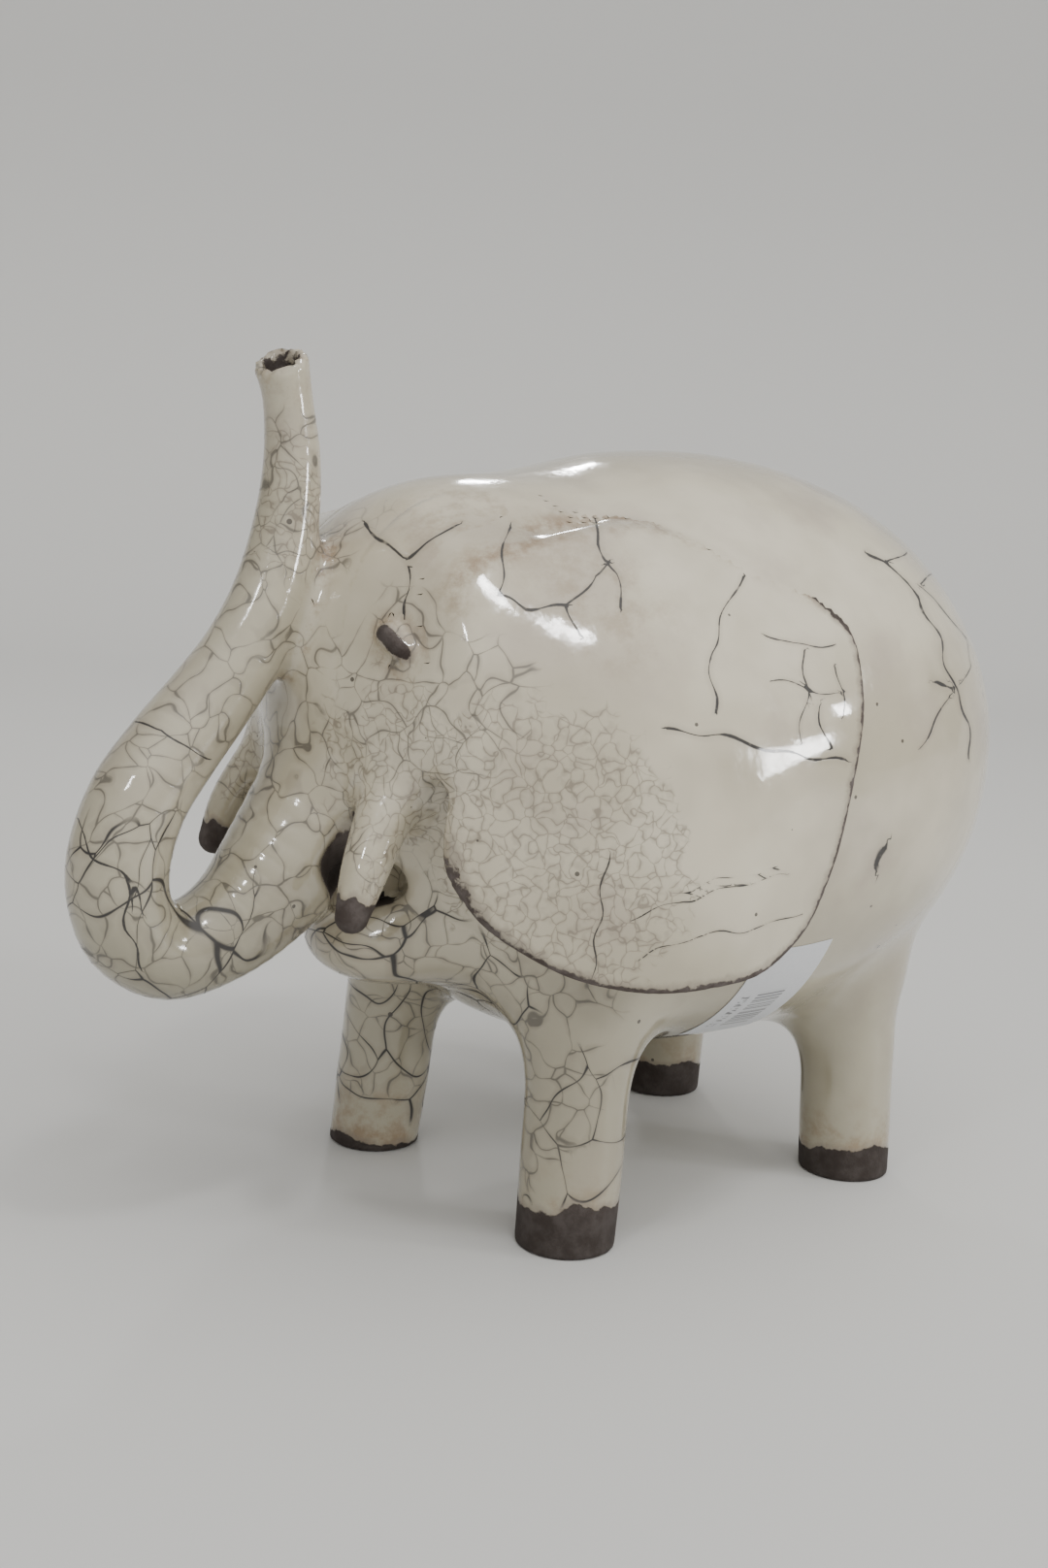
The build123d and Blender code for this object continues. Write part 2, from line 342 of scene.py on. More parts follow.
# Soot black, used in the cracks and, on bare clay, also as painted shade inside the mouth.
SOOT_AND_SHADE = (0.014, 0.011, 0.009)
FINE_LINE = (0.085, 0.058, 0.042)
glaze_finish, finish_in, finish_out = new_group(
    "glaze_finish",
    [
        ("Position", "Vector", None),
        ("Crack", "Float", 0.0),
        ("Halo", "Float", 0.0),
        ("Fine", "Float", 0.0),
        ("Stain_and_shade", "Float", 0.0),
    ],
    [("Color", "Color"), ("Roughness", "Float"), ("Height", "Float")],
)
finish_place = finish_in.outputs["Position"]
finish_drift = cloud(glaze_finish, finish_place, 42.0, 3.0)
finish_color = blend(glaze_finish, ramp(glaze_finish, finish_drift, 0.36, 0.66), GLAZE_CREAM, GLAZE_PALE)
finish_pink_place = vector_calc(glaze_finish, "ADD", finish_place, (310.0, 50.0, 90.0))
finish_pink = ramp(glaze_finish, cloud(glaze_finish, finish_pink_place, 30.0, 4.0), 0.50, 0.72, 0.0, 0.5)
finish_color = blend(glaze_finish, finish_pink, finish_color, GLAZE_PINK)
finish_split = put(glaze_finish, "SeparateXYZ", {"Vector": finish_place})
# Painted shade: the glaze is darkened towards the bottom, and towards the front it is darkened and tinted
# green, partly a real tint and partly painted shade.
finish_under_shade = ramp(glaze_finish, finish_split.outputs["Z"], 125.0, 35.0, 0.0, 0.6)
finish_ahead_green_and_shade = ramp(glaze_finish, finish_split.outputs["X"], 100.0, 142.0, 0.0, 0.5)
finish_green_and_shade = calc(glaze_finish, "ADD", finish_under_shade, finish_ahead_green_and_shade, clamp=True)
finish_color = blend(glaze_finish, finish_green_and_shade, finish_color, GLAZE_GREEN_AND_SHADE)
finish_rust_place = vector_calc(glaze_finish, "ADD", finish_place, (-70.0, 220.0, 10.0))
finish_rust = ramp(glaze_finish, cloud(glaze_finish, finish_rust_place, 9.0, 5.0, 0.7), 0.40, 0.68)
finish_rust_mask = calc(glaze_finish, "MULTIPLY", finish_rust, finish_in.outputs["Stain_and_shade"], clamp=True)
finish_color = blend(glaze_finish, finish_rust_mask, finish_color, GLAZE_BROWN)
finish_color = blend(
    glaze_finish, calc(glaze_finish, "MULTIPLY", finish_in.outputs["Halo"], 0.22), finish_color, FINE_LINE
)
finish_color = blend(
    glaze_finish, calc(glaze_finish, "MULTIPLY", finish_in.outputs["Fine"], 0.42), finish_color, FINE_LINE
)
finish_color = blend(glaze_finish, finish_in.outputs["Crack"], finish_color, SOOT_AND_SHADE)
finish_speck = put(glaze_finish, "TexVoronoi", {"Vector": finish_place, "Scale": 1 / 9.0}, feature="F1")
finish_speck_pick = put(glaze_finish, "SeparateColor", {"Color": finish_speck.outputs["Color"]}).outputs[0]
finish_speck_size = ramp(glaze_finish, finish_speck_pick, 0.62, 1.0, 0.0, 0.085)
finish_speck_mask = calc(glaze_finish, "LESS_THAN", finish_speck.outputs["Distance"], finish_speck_size)
finish_color = blend(
    glaze_finish, calc(glaze_finish, "MULTIPLY", finish_speck_mask, 0.85), finish_color, (0.035, 0.028, 0.022)
)
glaze_finish.links.new(finish_color, finish_out.inputs["Color"])
finish_matt = cloud(glaze_finish, finish_place, 7.0, 4.0, 0.7)
finish_rough = ramp(glaze_finish, finish_matt, 0.3, 0.75, 0.07, 0.20)
finish_rough = calc(glaze_finish, "MULTIPLY_ADD", finish_in.outputs["Crack"], 0.5, finish_rough)
glaze_finish.links.new(finish_rough, finish_out.inputs["Roughness"])
finish_swell = calc(glaze_finish, "MULTIPLY", cloud(glaze_finish, finish_place, 16.0, 1.0), 0.85)
finish_ripple = calc(glaze_finish, "MULTIPLY", cloud(glaze_finish, finish_place, 5.0, 2.0), 0.20)
finish_pits = calc(glaze_finish, "MULTIPLY", cloud(glaze_finish, finish_place, 1.1, 1.0), 0.012)
finish_height = calc(glaze_finish, "ADD", calc(glaze_finish, "ADD", finish_swell, finish_ripple), finish_pits)
finish_height = calc(glaze_finish, "MULTIPLY_ADD", finish_in.outputs["Crack"], -0.10, finish_height)
finish_height = calc(glaze_finish, "MULTIPLY_ADD", finish_in.outputs["Fine"], -0.02, finish_height)
finish_height = calc(glaze_finish, "MULTIPLY_ADD", finish_speck_mask, -0.12, finish_height)
glaze_finish.links.new(finish_height, finish_out.inputs["Height"])

# Clay left bare of glaze turns grey to purple brown in the smoke, and stays dry and gritty.
CLAY_GREY = (0.135, 0.115, 0.108)
CLAY_BROWN = (0.065, 0.050, 0.044)
bare_clay, clay_in, clay_out = new_group(
    "bare_clay",
    [("Position", "Vector", None)],
    [("Color", "Color"), ("Roughness", "Float"), ("Height", "Float")],
)
clay_drift = cloud(bare_clay, clay_in.outputs["Position"], 6.0, 5.0, 0.65)
clay_color = blend(bare_clay, ramp(bare_clay, clay_drift, 0.35, 0.68), CLAY_BROWN, CLAY_GREY)
bare_clay.links.new(clay_color, clay_out.inputs["Color"])
bare_clay.links.new(ramp(bare_clay, clay_drift, 0.3, 0.7, 0.62, 0.85), clay_out.inputs["Roughness"])
clay_grit = cloud(bare_clay, clay_in.outputs["Position"], 0.9, 3.0, 0.7)
bare_clay.links.new(calc(bare_clay, "MULTIPLY", clay_grit, 0.25), clay_out.inputs["Height"])

LINE_WIDTH = 0.42


def glazed(name, metal=0.0):
    """Crackle glaze, with bare clay and single bold cracks where the mesh says so."""
    material = bpy.data.materials.new(name)
    material.use_nodes = True
    tree = material.node_tree
    tree.nodes.clear()
    coordinates = put(tree, "TexCoord")
    place = vector_calc(tree, "MULTIPLY", coordinates.outputs["Object"], (MM, MM, MM))
    place = vector_calc(tree, "SUBTRACT", place, tuple(feet_middle))
    crazing = use(tree, raku_crazing, {"Position": place})
    medium = calc(tree, "MULTIPLY", crazing.outputs["Medium"], 0.62)
    crack = calc(tree, "MAXIMUM", crazing.outputs["Bold"], medium)
    halo = crazing.outputs["Halo"]
    line_side = calc(tree, "ABSOLUTE", put(tree, "Attribute", attribute_name="line_side").outputs["Fac"])
    line_gap = put(tree, "Attribute", attribute_name="line_gap").outputs["Fac"]
    vary = ramp(tree, cloud(tree, place, 7.0, 3.0), 0.3, 0.7, 0.35 * LINE_WIDTH, 1.35 * LINE_WIDTH)
    patchy = ramp(tree, cloud(tree, place, 3.0), 0.2, 0.45, 0.55, 1.0)
    line_strength = calc(tree, "MULTIPLY", ramp(tree, line_gap, 1.6, 1.0), patchy)
    ratio = calc(tree, "DIVIDE", line_side, vary)
    crack = calc(tree, "MAXIMUM", crack, calc(tree, "MULTIPLY", ramp(tree, ratio, 1.0, 0.45), line_strength))
    halo = calc(tree, "MAXIMUM", halo, calc(tree, "MULTIPLY", ramp(tree, line_gap, 2.0, 0.2), 0.7))
    stain_and_shade = put(tree, "Attribute", attribute_name="stain_and_shade").outputs["Fac"]
    finish = use(
        tree,
        glaze_finish,
        {"Position": place, "Crack": crack, "Halo": halo, "Fine": crazing.outputs["Fine"], "Stain_and_shade": stain_and_shade},
    )
    clay = use(tree, bare_clay, {"Position": place})
    bare_distance = put(tree, "Attribute", attribute_name="bare").outputs["Fac"]
    ragged = calc(tree, "MULTIPLY_ADD", cloud(tree, place, 3.2, 3.0, 0.6), 3.4, -1.7)
    bare_edge = calc(tree, "ADD", bare_distance, ragged)
    bare = ramp(tree, bare_edge, -0.25, 0.25)
    thin_glaze = ramp(tree, bare_edge, -2.4, -0.1, 0.0, 0.55)
    glaze_color = blend(tree, thin_glaze, finish.outputs["Color"], (0.20, 0.165, 0.13))
    # Soot on the bare clay, and painted shade inside the mouth, darken the clay towards black.
    clay_soot_and_shade = calc(tree, "MULTIPLY", stain_and_shade, 0.72, clamp=True)
    clay_color = blend(tree, clay_soot_and_shade, clay.outputs["Color"], SOOT_AND_SHADE)
    color = blend(tree, bare, glaze_color, clay_color)
    dry = calc(tree, "MULTIPLY", clay.outputs["Roughness"], 1.0 - metal)
    roughness_mix = {0: bare, 2: finish.outputs["Roughness"], 3: dry}
    roughness = put(tree, "Mix", roughness_mix, data_type="FLOAT").outputs[0]
    height = put(
        tree, "Mix", {0: bare, 2: finish.outputs["Height"], 3: clay.outputs["Height"]}, data_type="FLOAT"
    ).outputs[0]
    height = calc(tree, "MULTIPLY_ADD", bare, -0.25, height)
    bump = put(tree, "Bump", {"Height": height, "Strength": 0.55, "Distance": 1.0 / MM})
    shader = put(
        tree,
        "BsdfPrincipled",
        {
            "Base Color": color,
            "Roughness": roughness,
            "Normal": bump.outputs[0],
            "IOR": 1.52,
            "Metallic": calc(tree, "MULTIPLY", bare, metal),
            "Specular IOR Level": calc(tree, "MULTIPLY_ADD", bare, -0.35, 0.55),
            "Coat Weight": calc(tree, "MULTIPLY_ADD", bare, -0.6, 0.6),
            "Coat Roughness": 0.05,
        },
    )
    output = put(tree, "OutputMaterial")
    tree.links.new(shader.outputs[0], output.inputs["Surface"])
    return material


# Bold single cracks are drawn in a side view of the animal's left, from the middle of the feet:
# (relative width, [(across towards the tail, up), ...]).
SIDE_VIEW = np.array([-0.758, 0.652, 0.0])
FACING = np.array([0.652, 0.758, 0.0])
RIGHT_SHIFT = 3.5
NO_CRACK = 30.0
BODY_CRACKS = [
    (1.0, [(60, 191), (66, 187), (75, 179), (82, 166), (87, 155), (93, 144), (94, 133)]),
    (0.6, [(75, 182), (86, 173), (93, 166), (94, 158), (88, 155)]),
    (0.8, [(87, 154), (82, 147), (76, 139)]),
    (0.8, [(66, 187), (73, 190)]),
    (0.6, [(75, 182), (83, 184)]),
    (1.8, [(80, 156), (87, 154)]),
    (3.5, [(68, 111), (67, 106)]),
]


def crack_distances(points, outward, cracks, side):
    """Signed and plain distance to the nearest bold crack, wandering a little from its drawn line."""
    mirrored = np.array([1.0, side, 1.0])
    place = (points - feet_middle) * mirrored
    seen = (place[:, 1] > -4) & ((outward * mirrored) @ FACING > 0.04)
    across = place @ SIDE_VIEW - (1 - side) * RIGHT_SHIFT
    up = place[:, 2] + (1 - side) * RIGHT_SHIFT
    across = across + 0.7 * np.sin(up / 2.1 + 0.5) + 0.5 * np.sin(up / 5.3 + across / 3.7)
    up = up + 0.6 * np.sin(across / 2.3 + 1.1) + 0.5 * np.sin(across / 4.9 - up / 3.9)
    nearest = np.full(len(points), NO_CRACK)
    signed = np.full(len(points), NO_CRACK)
    for weight, line in cracks:
        for (x0, z0), (x1, z1) in zip(line[:-1], line[1:]):
            run_x, run_z = x1 - x0, z1 - z0
            from_x, from_z = across - x0, up - z0
            share = np.clip((from_x * run_x + from_z * run_z) / (run_x ** 2 + run_z ** 2), 0, 1)
            gap = np.hypot(from_x - run_x * share, from_z - run_z * share) / weight
            gap = np.where(seen, gap, NO_CRACK)
            closer = gap < nearest
            nearest = np.where(closer, gap, nearest)
            flank = np.sign(run_x * from_z - run_z * from_x)
            signed = np.where(closer, flank * gap, signed)
    return signed, nearest


clay_pieces = {
    "body_shell": {
        "form": body_form,
        "bare": never,
        "stain_and_shade": never,
        "cracks": BODY_CRACKS,
        "cracked_on_right": True,
        "material": glazed("glaze_body"),
    }
}

# ---------------------------------------------------------------------------
# Head: a smaller hollow cap of the same clay, luted to the front of the body
# and smoothed over, so that only a soft saddle shows behind the brow.
# ---------------------------------------------------------------------------
head_low, head_high = node_box("head_shell")
SKULL_RADII = np.array([40.5, 45.0, 45.0])
MUZZLE_RADII = np.array([28.0, 37.0, 27.0])
skull_center = np.array([head_high[0] - SKULL_RADII[0], 0.0, head_high[2] - SKULL_RADII[2]])
muzzle_center = skull_center + np.array([8.0, 0.0, -22.0])
NECK_FILLET = 30.0
THROAT_FILLET = 9.0
CHEEK_FILLET = 16.0


def head_form(points):
    skull = ball(points, skull_center, SKULL_RADII)
    return join(skull, ball(points, muzzle_center, MUZZLE_RADII), CHEEK_FILLET)


def head_stain_and_shade(points):
    """Iron drifts over the brow, a pool where the trunk touches the forehead, and painted shade in the mouth.
    """
    brow = 1 - ease(np.linalg.norm(points - (skull_center + (2, 26, 32)), axis=1), 8, 30)
    pool = np.exp(-(np.maximum(trunk_form(points) - 1.0, 0) / 3.5) ** 2) * ease(points[:, 2], 142, 158)
    eye_ring = np.exp(-(np.maximum(eye_form(points, 1), 0) / 3.0) ** 2)
    around_eye = np.maximum(brow * 0.55, eye_ring * 0.8)
    return np.maximum(np.maximum(around_eye, pool * 1.8), mouth_painted_shade(points))


HEAD_CRACKS = [
    (1.1, [(-74, 191), (-66, 187), (-61, 183), (-56, 187), (-50, 192)]),
    (0.9, [(-61, 183), (-59, 176), (-60, 169)]),
]
clay_pieces["head_shell"] = {
    "form": head_form,
    "bare": lambda points: mouth_bare(points),
    "stain_and_shade": head_stain_and_shade,
    "cracks": HEAD_CRACKS,
    "material": glazed("glaze_head"),
}

# ---------------------------------------------------------------------------
# Lower jaw: a small pad of clay under the mouth, smoothed into the chest. The mouth is a deep, dark slot
# pressed in between it and the root of the trunk; its inside is bare clay painted near black as shade.
# ---------------------------------------------------------------------------
jaw_low, jaw_high = node_box("lower_jaw")
JAW_RADII = np.array([21.0, 23.0, 13.5])
jaw_center = np.array([jaw_high[0] - JAW_RADII[0] - 0.5, 0.0, (jaw_low[2] + jaw_high[2]) / 2])
MOUTH_RADII = np.array([14.0, 18.0, 7.0])
mouth_center = jaw_center + np.array([9.0, 0.0, 17.0])
MOUTH_WEB = 11.0
# Corner of the mouth, up between the trunk and the tusk: (x, y, z from the jaw's middle, radius).
MOUTH_CORNER = [
    (20.0, 23.0, 40.0, 1.6),
    (23.0, 21.0, 32.0, 3.4),
    (24.0, 18.0, 24.0, 5.0),
    (16.0, 10.0, 17.0, 6.0),
]
JAW_FILLET = 16.0
MOUTH_ROUND = 4.0


def jaw_form(points):
    return ball(points, jaw_center, JAW_RADII)


def mouth_hollow(points):
    folded = points * (1, 0, 1) + np.abs(points) * (0, 1, 0)
    corner = coil(folded, np.array([(*(jaw_center + row[:3]), row[3]) for row in MOUTH_CORNER]))
    pocket = np.maximum(ball(points, mouth_center, MOUTH_RADII), MOUTH_WEB / 2 - folded[:, 1])
    return np.minimum(pocket, corner)


def mouth_bare(points):
    """Bare clay inside the mouth, which is painted near black there as shade."""
    return 3.0 - 3.0 * mouth_hollow(points)


# Painted shade: darkens the inside of the mouth towards black.
def mouth_painted_shade(points):
    return ease(mouth_hollow(points), 1.0, 0.2) * 1.2


clay_pieces["lower_jaw"] = {
    "form": jaw_form,
    "bare": mouth_bare,
    "stain_and_shade": mouth_painted_shade,
    "material": glazed("glaze_jaw"),
}

# ---------------------------------------------------------------------------
# Trunk: a hollow coil of clay that leaves the face, curls under and rises up
# against the forehead. Its tip is an open, slightly flared rim of bare clay.
# ---------------------------------------------------------------------------
trunk_low, trunk_high = node_box("trunk")
# Centre line: (x from the front of the trunk, z from its top, radius).
TRUNK_LINE = [
    (-92, -98.5, 24.0),
    (-76, -112.5, 20.5),
    (-61, -131.5, 17.5),
    (-50, -143.5, 14.8),
    (-39, -150.5, 13.2),
    (-28, -153.0, 12.8),
    (-19, -148.5, 12.8),
    (-14, -139.5, 12.9),
    (-13.5, -127.5, 13.0),
    (-18, -113.5, 12.7),
    (-26.5, -101.5, 12.1),
    (-36.5, -89.5, 11.3),
    (-45.5, -77.5, 10.6),
    (-52, -64.5, 9.8),
    (-56, -51.5, 9.1),
    (-58.2, -38.5, 8.4),
    (-58.4, -25.5, 7.5),
    (-56.6, -12.5, 6.6),
    (-54, -3.2, 7.3),
]
TRUNK_RIM_TILT = (0.20, 0.30, 0.0)
TRUNK_BORE_SHARE = 0.60
TRUNK_BORE_STATIONS = 8
TRUNK_FILLET = 9.0

trunk_rows = [(trunk_high[0] + x, 0.0, trunk_high[2] + z, radius) for x, z, radius in TRUNK_LINE]
trunk_line = curve_through(trunk_rows, 4)
trunk_end = trunk_line[-1, :3]
trunk_heading = (trunk_line[-1] - trunk_line[-4])[:3]
trunk_heading = trunk_heading / np.linalg.norm(trunk_heading)
rim_normal = trunk_heading + np.array(TRUNK_RIM_TILT)
rim_normal = rim_normal / np.linalg.norm(rim_normal)
bore_rows = [(x, y, z, radius * TRUNK_BORE_SHARE) for x, y, z, radius in trunk_rows[-TRUNK_BORE_STATIONS:]]
bore_line = curve_through(bore_rows + [tuple(np.array(bore_rows[-1]) + (*trunk_heading * 6, 0.0))], 4)


def trunk_form(points):
    def cut_coil(near):
        rim_wave = 0.45 * np.sin(2.7 * near[:, 1] + 1.1 * near[:, 0])
        above = (near - trunk_end) @ rim_normal + rim_wave
        return carve(coil(near, trunk_line), -above, 2.2)

    return close_to(points, *box_of(trunk_line), 20.0, cut_coil)


def trunk_bore(points):
    return close_to(points, *box_of(bore_line), 6.0, lambda near: coil(near, bore_line))


def trunk_bare(points):
    """Bare clay inside the bore, just over the rim and in the mouth."""
    return np.maximum(0.2 - trunk_bore(points), mouth_bare(points))


# Stains at the forehead contact and near the tip, and painted shade in the mouth.
def trunk_stain_and_shade(points):
    contact = np.exp(-(np.maximum(head_form(points) - 1.0, 0) / 4.0) ** 2) * ease(points[:, 2], 142, 158)
    tip = ease((points - trunk_end) @ trunk_heading, -16, -2)
    return np.maximum(np.maximum(contact * 1.2, tip * 0.6), mouth_painted_shade(points))


TRUNK_CRACKS = [
    (0.8, [(-125, 141), (-116, 140), (-110, 136), (-105, 133)]),
    (1.0, [(-135, 116), (-129, 110), (-121, 105), (-117, 96)]),
    (0.9, [(-121, 105), (-121, 91), (-117, 81)]),
]
clay_pieces["trunk"] = {
    "form": trunk_form,
    "bare": trunk_bare,
    "stain_and_shade": trunk_stain_and_shade,
    "cracks": TRUNK_CRACKS,
    "material": glazed("glaze_trunk"),
}

# ---------------------------------------------------------------------------
# Ears: two big rolled slabs. The front and top are pressed on and smoothed, the
# rear and hem stand off the flank, and the cut rim is left bare.
# ---------------------------------------------------------------------------
# Outline: (x from the rear of the ear, z from its hem).
EAR_OUTLINE = [
    (103, 100), (85, 109), (67, 114), (50, 116), (35, 112), (22, 105), (7, 98), (0, 89), (2, 77), (6, 62),
    (9, 46), (12, 30), (19, 14), (33, 4), (49, 1), (67, 0), (82, 3), (95, 10), (104, 19), (109, 32),
    (108, 55), (107, 80),
]
EAR_HALF_THICKNESS = 2.2
EAR_ROUND = 1.9
EAR_REACH = 89.6
EAR_WAVE = 0.9
EAR_FRONT_FILLET = 17.0
EAR_CREASE_FILLET = 1.6
RIM_WIDTH = 2.0
ear_ring = curve_through(EAR_OUTLINE[-1:] + EAR_OUTLINE + EAR_OUTLINE[:2], 4)[4:-4]


def outline_distance(across, up):
    """Signed distance in the side view to the ear's outline, negative inside."""
    nearest = np.full(len(across), 1e9)
    sign = np.ones(len(across))
    for (x0, z0), (x1, z1) in zip(ear_ring[:-1], ear_ring[1:]):
        run_x, run_z = x1 - x0, z1 - z0
        from_x, from_z = across - x0, up - z0
        share = np.clip((from_x * run_x + from_z * run_z) / (run_x ** 2 + run_z ** 2), 0, 1)
        nearest = np.minimum(nearest, (from_x - run_x * share) ** 2 + (from_z - run_z * share) ** 2)
        above, below = up >= z0, up < z1
        left = run_x * from_z > run_z * from_x
        sign = np.where((above & below & left) | (~above & ~below & ~left), -sign, sign)
    return sign * np.sqrt(nearest)


def ear_middle(u, v):
    """Distance of the slab's middle from the centre plane: dished, waved, tucked in at the top."""
    reach = EAR_REACH - 40 * np.clip((u - 37) / 74, 0, 1.3) ** 2
    rise = np.clip((v - 44) / 84, 0, 0.985)
    wave = EAR_WAVE * (1 + np.sin(u * 0.085 + 0.5) * np.sin(v * 0.062 + 0.9))
    tuck = 2.8 * ease(v + 0.25 * u, 98, 126)
    rear_lift = 1.8 * ease(v, 46, 72) * (1 - ease(u, 8, 44))
    return reach * np.sqrt(1 - rise ** 2) - 0.0014 * np.maximum(32 - v, 0) ** 2 - wave - tuck + rear_lift


def ear_parts(points, side):
    """Place along the ear, up it, and outwards from the centre plane."""
    low, high = node_box("left_ear" if side > 0 else "right_ear")
    u = points[:, 0] - low[0]
    v = points[:, 2] - low[2]
    return u, v, points[:, 1] * side


def ear_form(points, side):
    def slab(near):
        u, v, w = ear_parts(near, side)
        small = 0.5
        slope_u = (ear_middle(u + small, v) - ear_middle(u - small, v)) / (2 * small)
        slope_v = (ear_middle(u, v + small) - ear_middle(u, v - small)) / (2 * small)
        steep = slope_u ** 2 + slope_v ** 2
        depth = np.abs(w - ear_middle(u, v)) / np.sqrt(1 + steep) - EAR_HALF_THICKNESS + EAR_ROUND
        edge = outline_distance(u, v) / np.sqrt(1 + 0.3 * steep) + EAR_ROUND
        inside = np.minimum(np.maximum(depth, edge), 0)
        return inside + np.hypot(np.maximum(depth, 0), np.maximum(edge, 0)) - EAR_ROUND

    low, high = node_box("left_ear" if side > 0 else "right_ear")
    return close_to(points, low, high, 22.0, slab)


def ear_bare(points, side):
    """Bare along the cut rim, but not where the ear is pressed on."""
    u, v, _ = ear_parts(points, side)
    pressed = 6 * ease(v + 0.55 * u, 98, 116) + 6 * ease(v - 4.0 * (110 - u), 20, 50)
    width = RIM_WIDTH - 1.1 * ease(u, 50, 95)
    return np.minimum(outline_distance(u, v), 2.0) + width - pressed


def ear_stain(points, side):
    """Soot in the crease at the top, and an iron patch on the ear below it."""
    u, v, _ = ear_parts(points, side)
    crease = np.exp(-(outline_distance(u, v) / 3.0) ** 2) * ease(v, 84, 100)
    patch = 1 - ease(np.hypot(u - 74, v - 98), 4, 26)
    return np.maximum(crease, 0.5 * patch)


EAR_CRACKS = [
    (0.9, [(-36, 192), (-36, 184), (-37, 176), (-29, 174), (-19, 175), (-16, 168)]),
    (1.0, [(-15, 196), (-13, 190), (-8, 183), (-6, 174)]),
    (0.7, [(-19, 175), (-14, 183), (-9, 186)]),
    (0.8, [(24, 183), (19, 173), (16, 165), (19, 151)]),
    (1.1, [(7, 147), (19, 145), (29, 143), (42, 139), (54, 138)]),
    (0.6, [(30, 170), (37, 167), (49, 166)]),
    (0.6, [(33, 158), (43, 156), (52, 155)]),
    (0.7, [(40, 165), (42, 156), (41, 143)]),
    (0.8, [(45, 153), (49, 141)]),
    (0.8, [(50, 161), (52, 148)]),
    (0.8, [(-5, 116), (-7, 104), (-7, 84)]),
    (0.5, [(1, 100), (13, 105), (27, 108), (41, 109)]),
    (0.5, [(3, 90), (18, 95), (35, 97), (45, 99)]),
    (0.4, [(10, 106), (22, 110), (37, 111)]),
]
for ear_name, ear_side in (("left_ear", 1), ("right_ear", -1)):
    clay_pieces[ear_name] = {
        "form": lambda points, side=ear_side: ear_form(points, side),
        "bare": lambda points, side=ear_side: ear_bare(points, side),
        "stain_and_shade": lambda points, side=ear_side: ear_stain(points, side),
        "cracks": EAR_CRACKS,
        "cracked_on_right": ear_side < 0,
        "material": glazed("glaze_" + ear_name),
    }

# ---------------------------------------------------------------------------
# Tusks: two short curved cones of clay drawn out of the cheeks. The glaze stops
# short of the blunt tips, which are left grey.
# ---------------------------------------------------------------------------
# Centre line: (x and y from the outer front of the tusk, z from its tip, radius).
TUSK_LINE = [
    (-26.1, -15.6, 40.6, 9.5),
    (-17.1, -11.1, 27.6, 7.6),
    (-10.1, -7.6, 15.6, 6.3),
    (-6.0, -5.9, 5.4, 4.6),
]
TUSK_FILLET = 8.0
TUSK_BARE_LENGTH = 9.0


def outer_corner(name, side):
    """Front, outer and lowest values of a paired node, with y counted outwards."""
    low, high = node_box(name)
    outward = high[1] if side > 0 else -low[1]
    return np.array([high[0], outward, low[2]])


def tusk_line(side):
    corner = outer_corner("left_tusk" if side > 0 else "right_tusk", side)
    rows = [(corner[0] + x, side * (corner[1] + y), corner[2] + z, radius) for x, y, z, radius in TUSK_LINE]
    return curve_through(rows, 5)


tusk_lines = {side: tusk_line(side) for side in (1, -1)}


def tusk_form(points, side):
    line = tusk_lines[side]
    return close_to(points, *box_of(line), 16.0, lambda near: coil(near, line))


def tusk_bare(points, side):
    tip = tusk_lines[side][-1]
    slant = 0.35 * (points[:, 0] - tip[0]) + 0.8 * np.sin(points[:, 1] * 1.3)
    return tip[2] - tip[3] + TUSK_BARE_LENGTH + slant - points[:, 2]


for tusk_name, tusk_side in (("left_tusk", 1), ("right_tusk", -1)):
    clay_pieces[tusk_name] = {
        "form": lambda points, side=tusk_side: tusk_form(points, side),
        "bare": lambda points, side=tusk_side: tusk_bare(points, side),
        "stain_and_shade": lambda points, side=tusk_side: 0.5 * ease(tusk_bare(points, side), -6, 2),
        "material": glazed("glaze_" + tusk_name),
    }

# ---------------------------------------------------------------------------
# Eyes: small almond pellets pressed on, left bare and smoked to a dark metallic
# grey, with the glaze ending in a pale ring round them.
# ---------------------------------------------------------------------------
EYE_UPPER = np.array([-2.9, -5.1, -3.5])
EYE_LOWER = np.array([-5.5, -1.1, -7.4])
EYE_RADIUS = 3.5
EYE_FILLET = 2.0
EYE_OUTWARD = np.array([0.867, 0.475, 0.155])
EYE_BARE_CROWN = 0.66
EYE_SMOKE = 0.55


def eye_line(side):
    low, high = node_box("left_eye" if side > 0 else "right_eye")
    corner = np.array([high[0], high[1] if side > 0 else -low[1], high[2]])
    ends = []
    for end in (corner + EYE_UPPER, corner + EYE_LOWER):
        ends.append((end[0], side * end[1], end[2], EYE_RADIUS))
    return np.array(ends)


eye_lines = {side: eye_line(side) for side in (1, -1)}


def eye_form(points, side):
    line = eye_lines[side]
    return close_to(points, *box_of(line), 14.0, lambda near: coil(near, line))


def eye_bare(points, side):
    """Bare over the crown of the pellet, glazed where it meets the face."""
    line = eye_lines[side][:, :3]
    run = line[1] - line[0]
    share = np.clip((points - line[0]) @ run / (run @ run), 0, 1)
    from_axis = points - line[0] - share[:, None] * run
    crown = from_axis @ (EYE_OUTWARD * (1, side, 1)) / EYE_RADIUS
    return 6.0 * (crown - EYE_BARE_CROWN)


for eye_name, eye_side in (("left_eye", 1), ("right_eye", -1)):
    clay_pieces[eye_name] = {
        "form": lambda points, side=eye_side: eye_form(points, side),
        "bare": lambda points, side=eye_side: eye_bare(points, side),
        "stain_and_shade": lambda points: np.full(len(points), EYE_SMOKE),
        "material": glazed("glaze_" + eye_name, metal=0.45),
        "slot": "smoked_clay",
    }

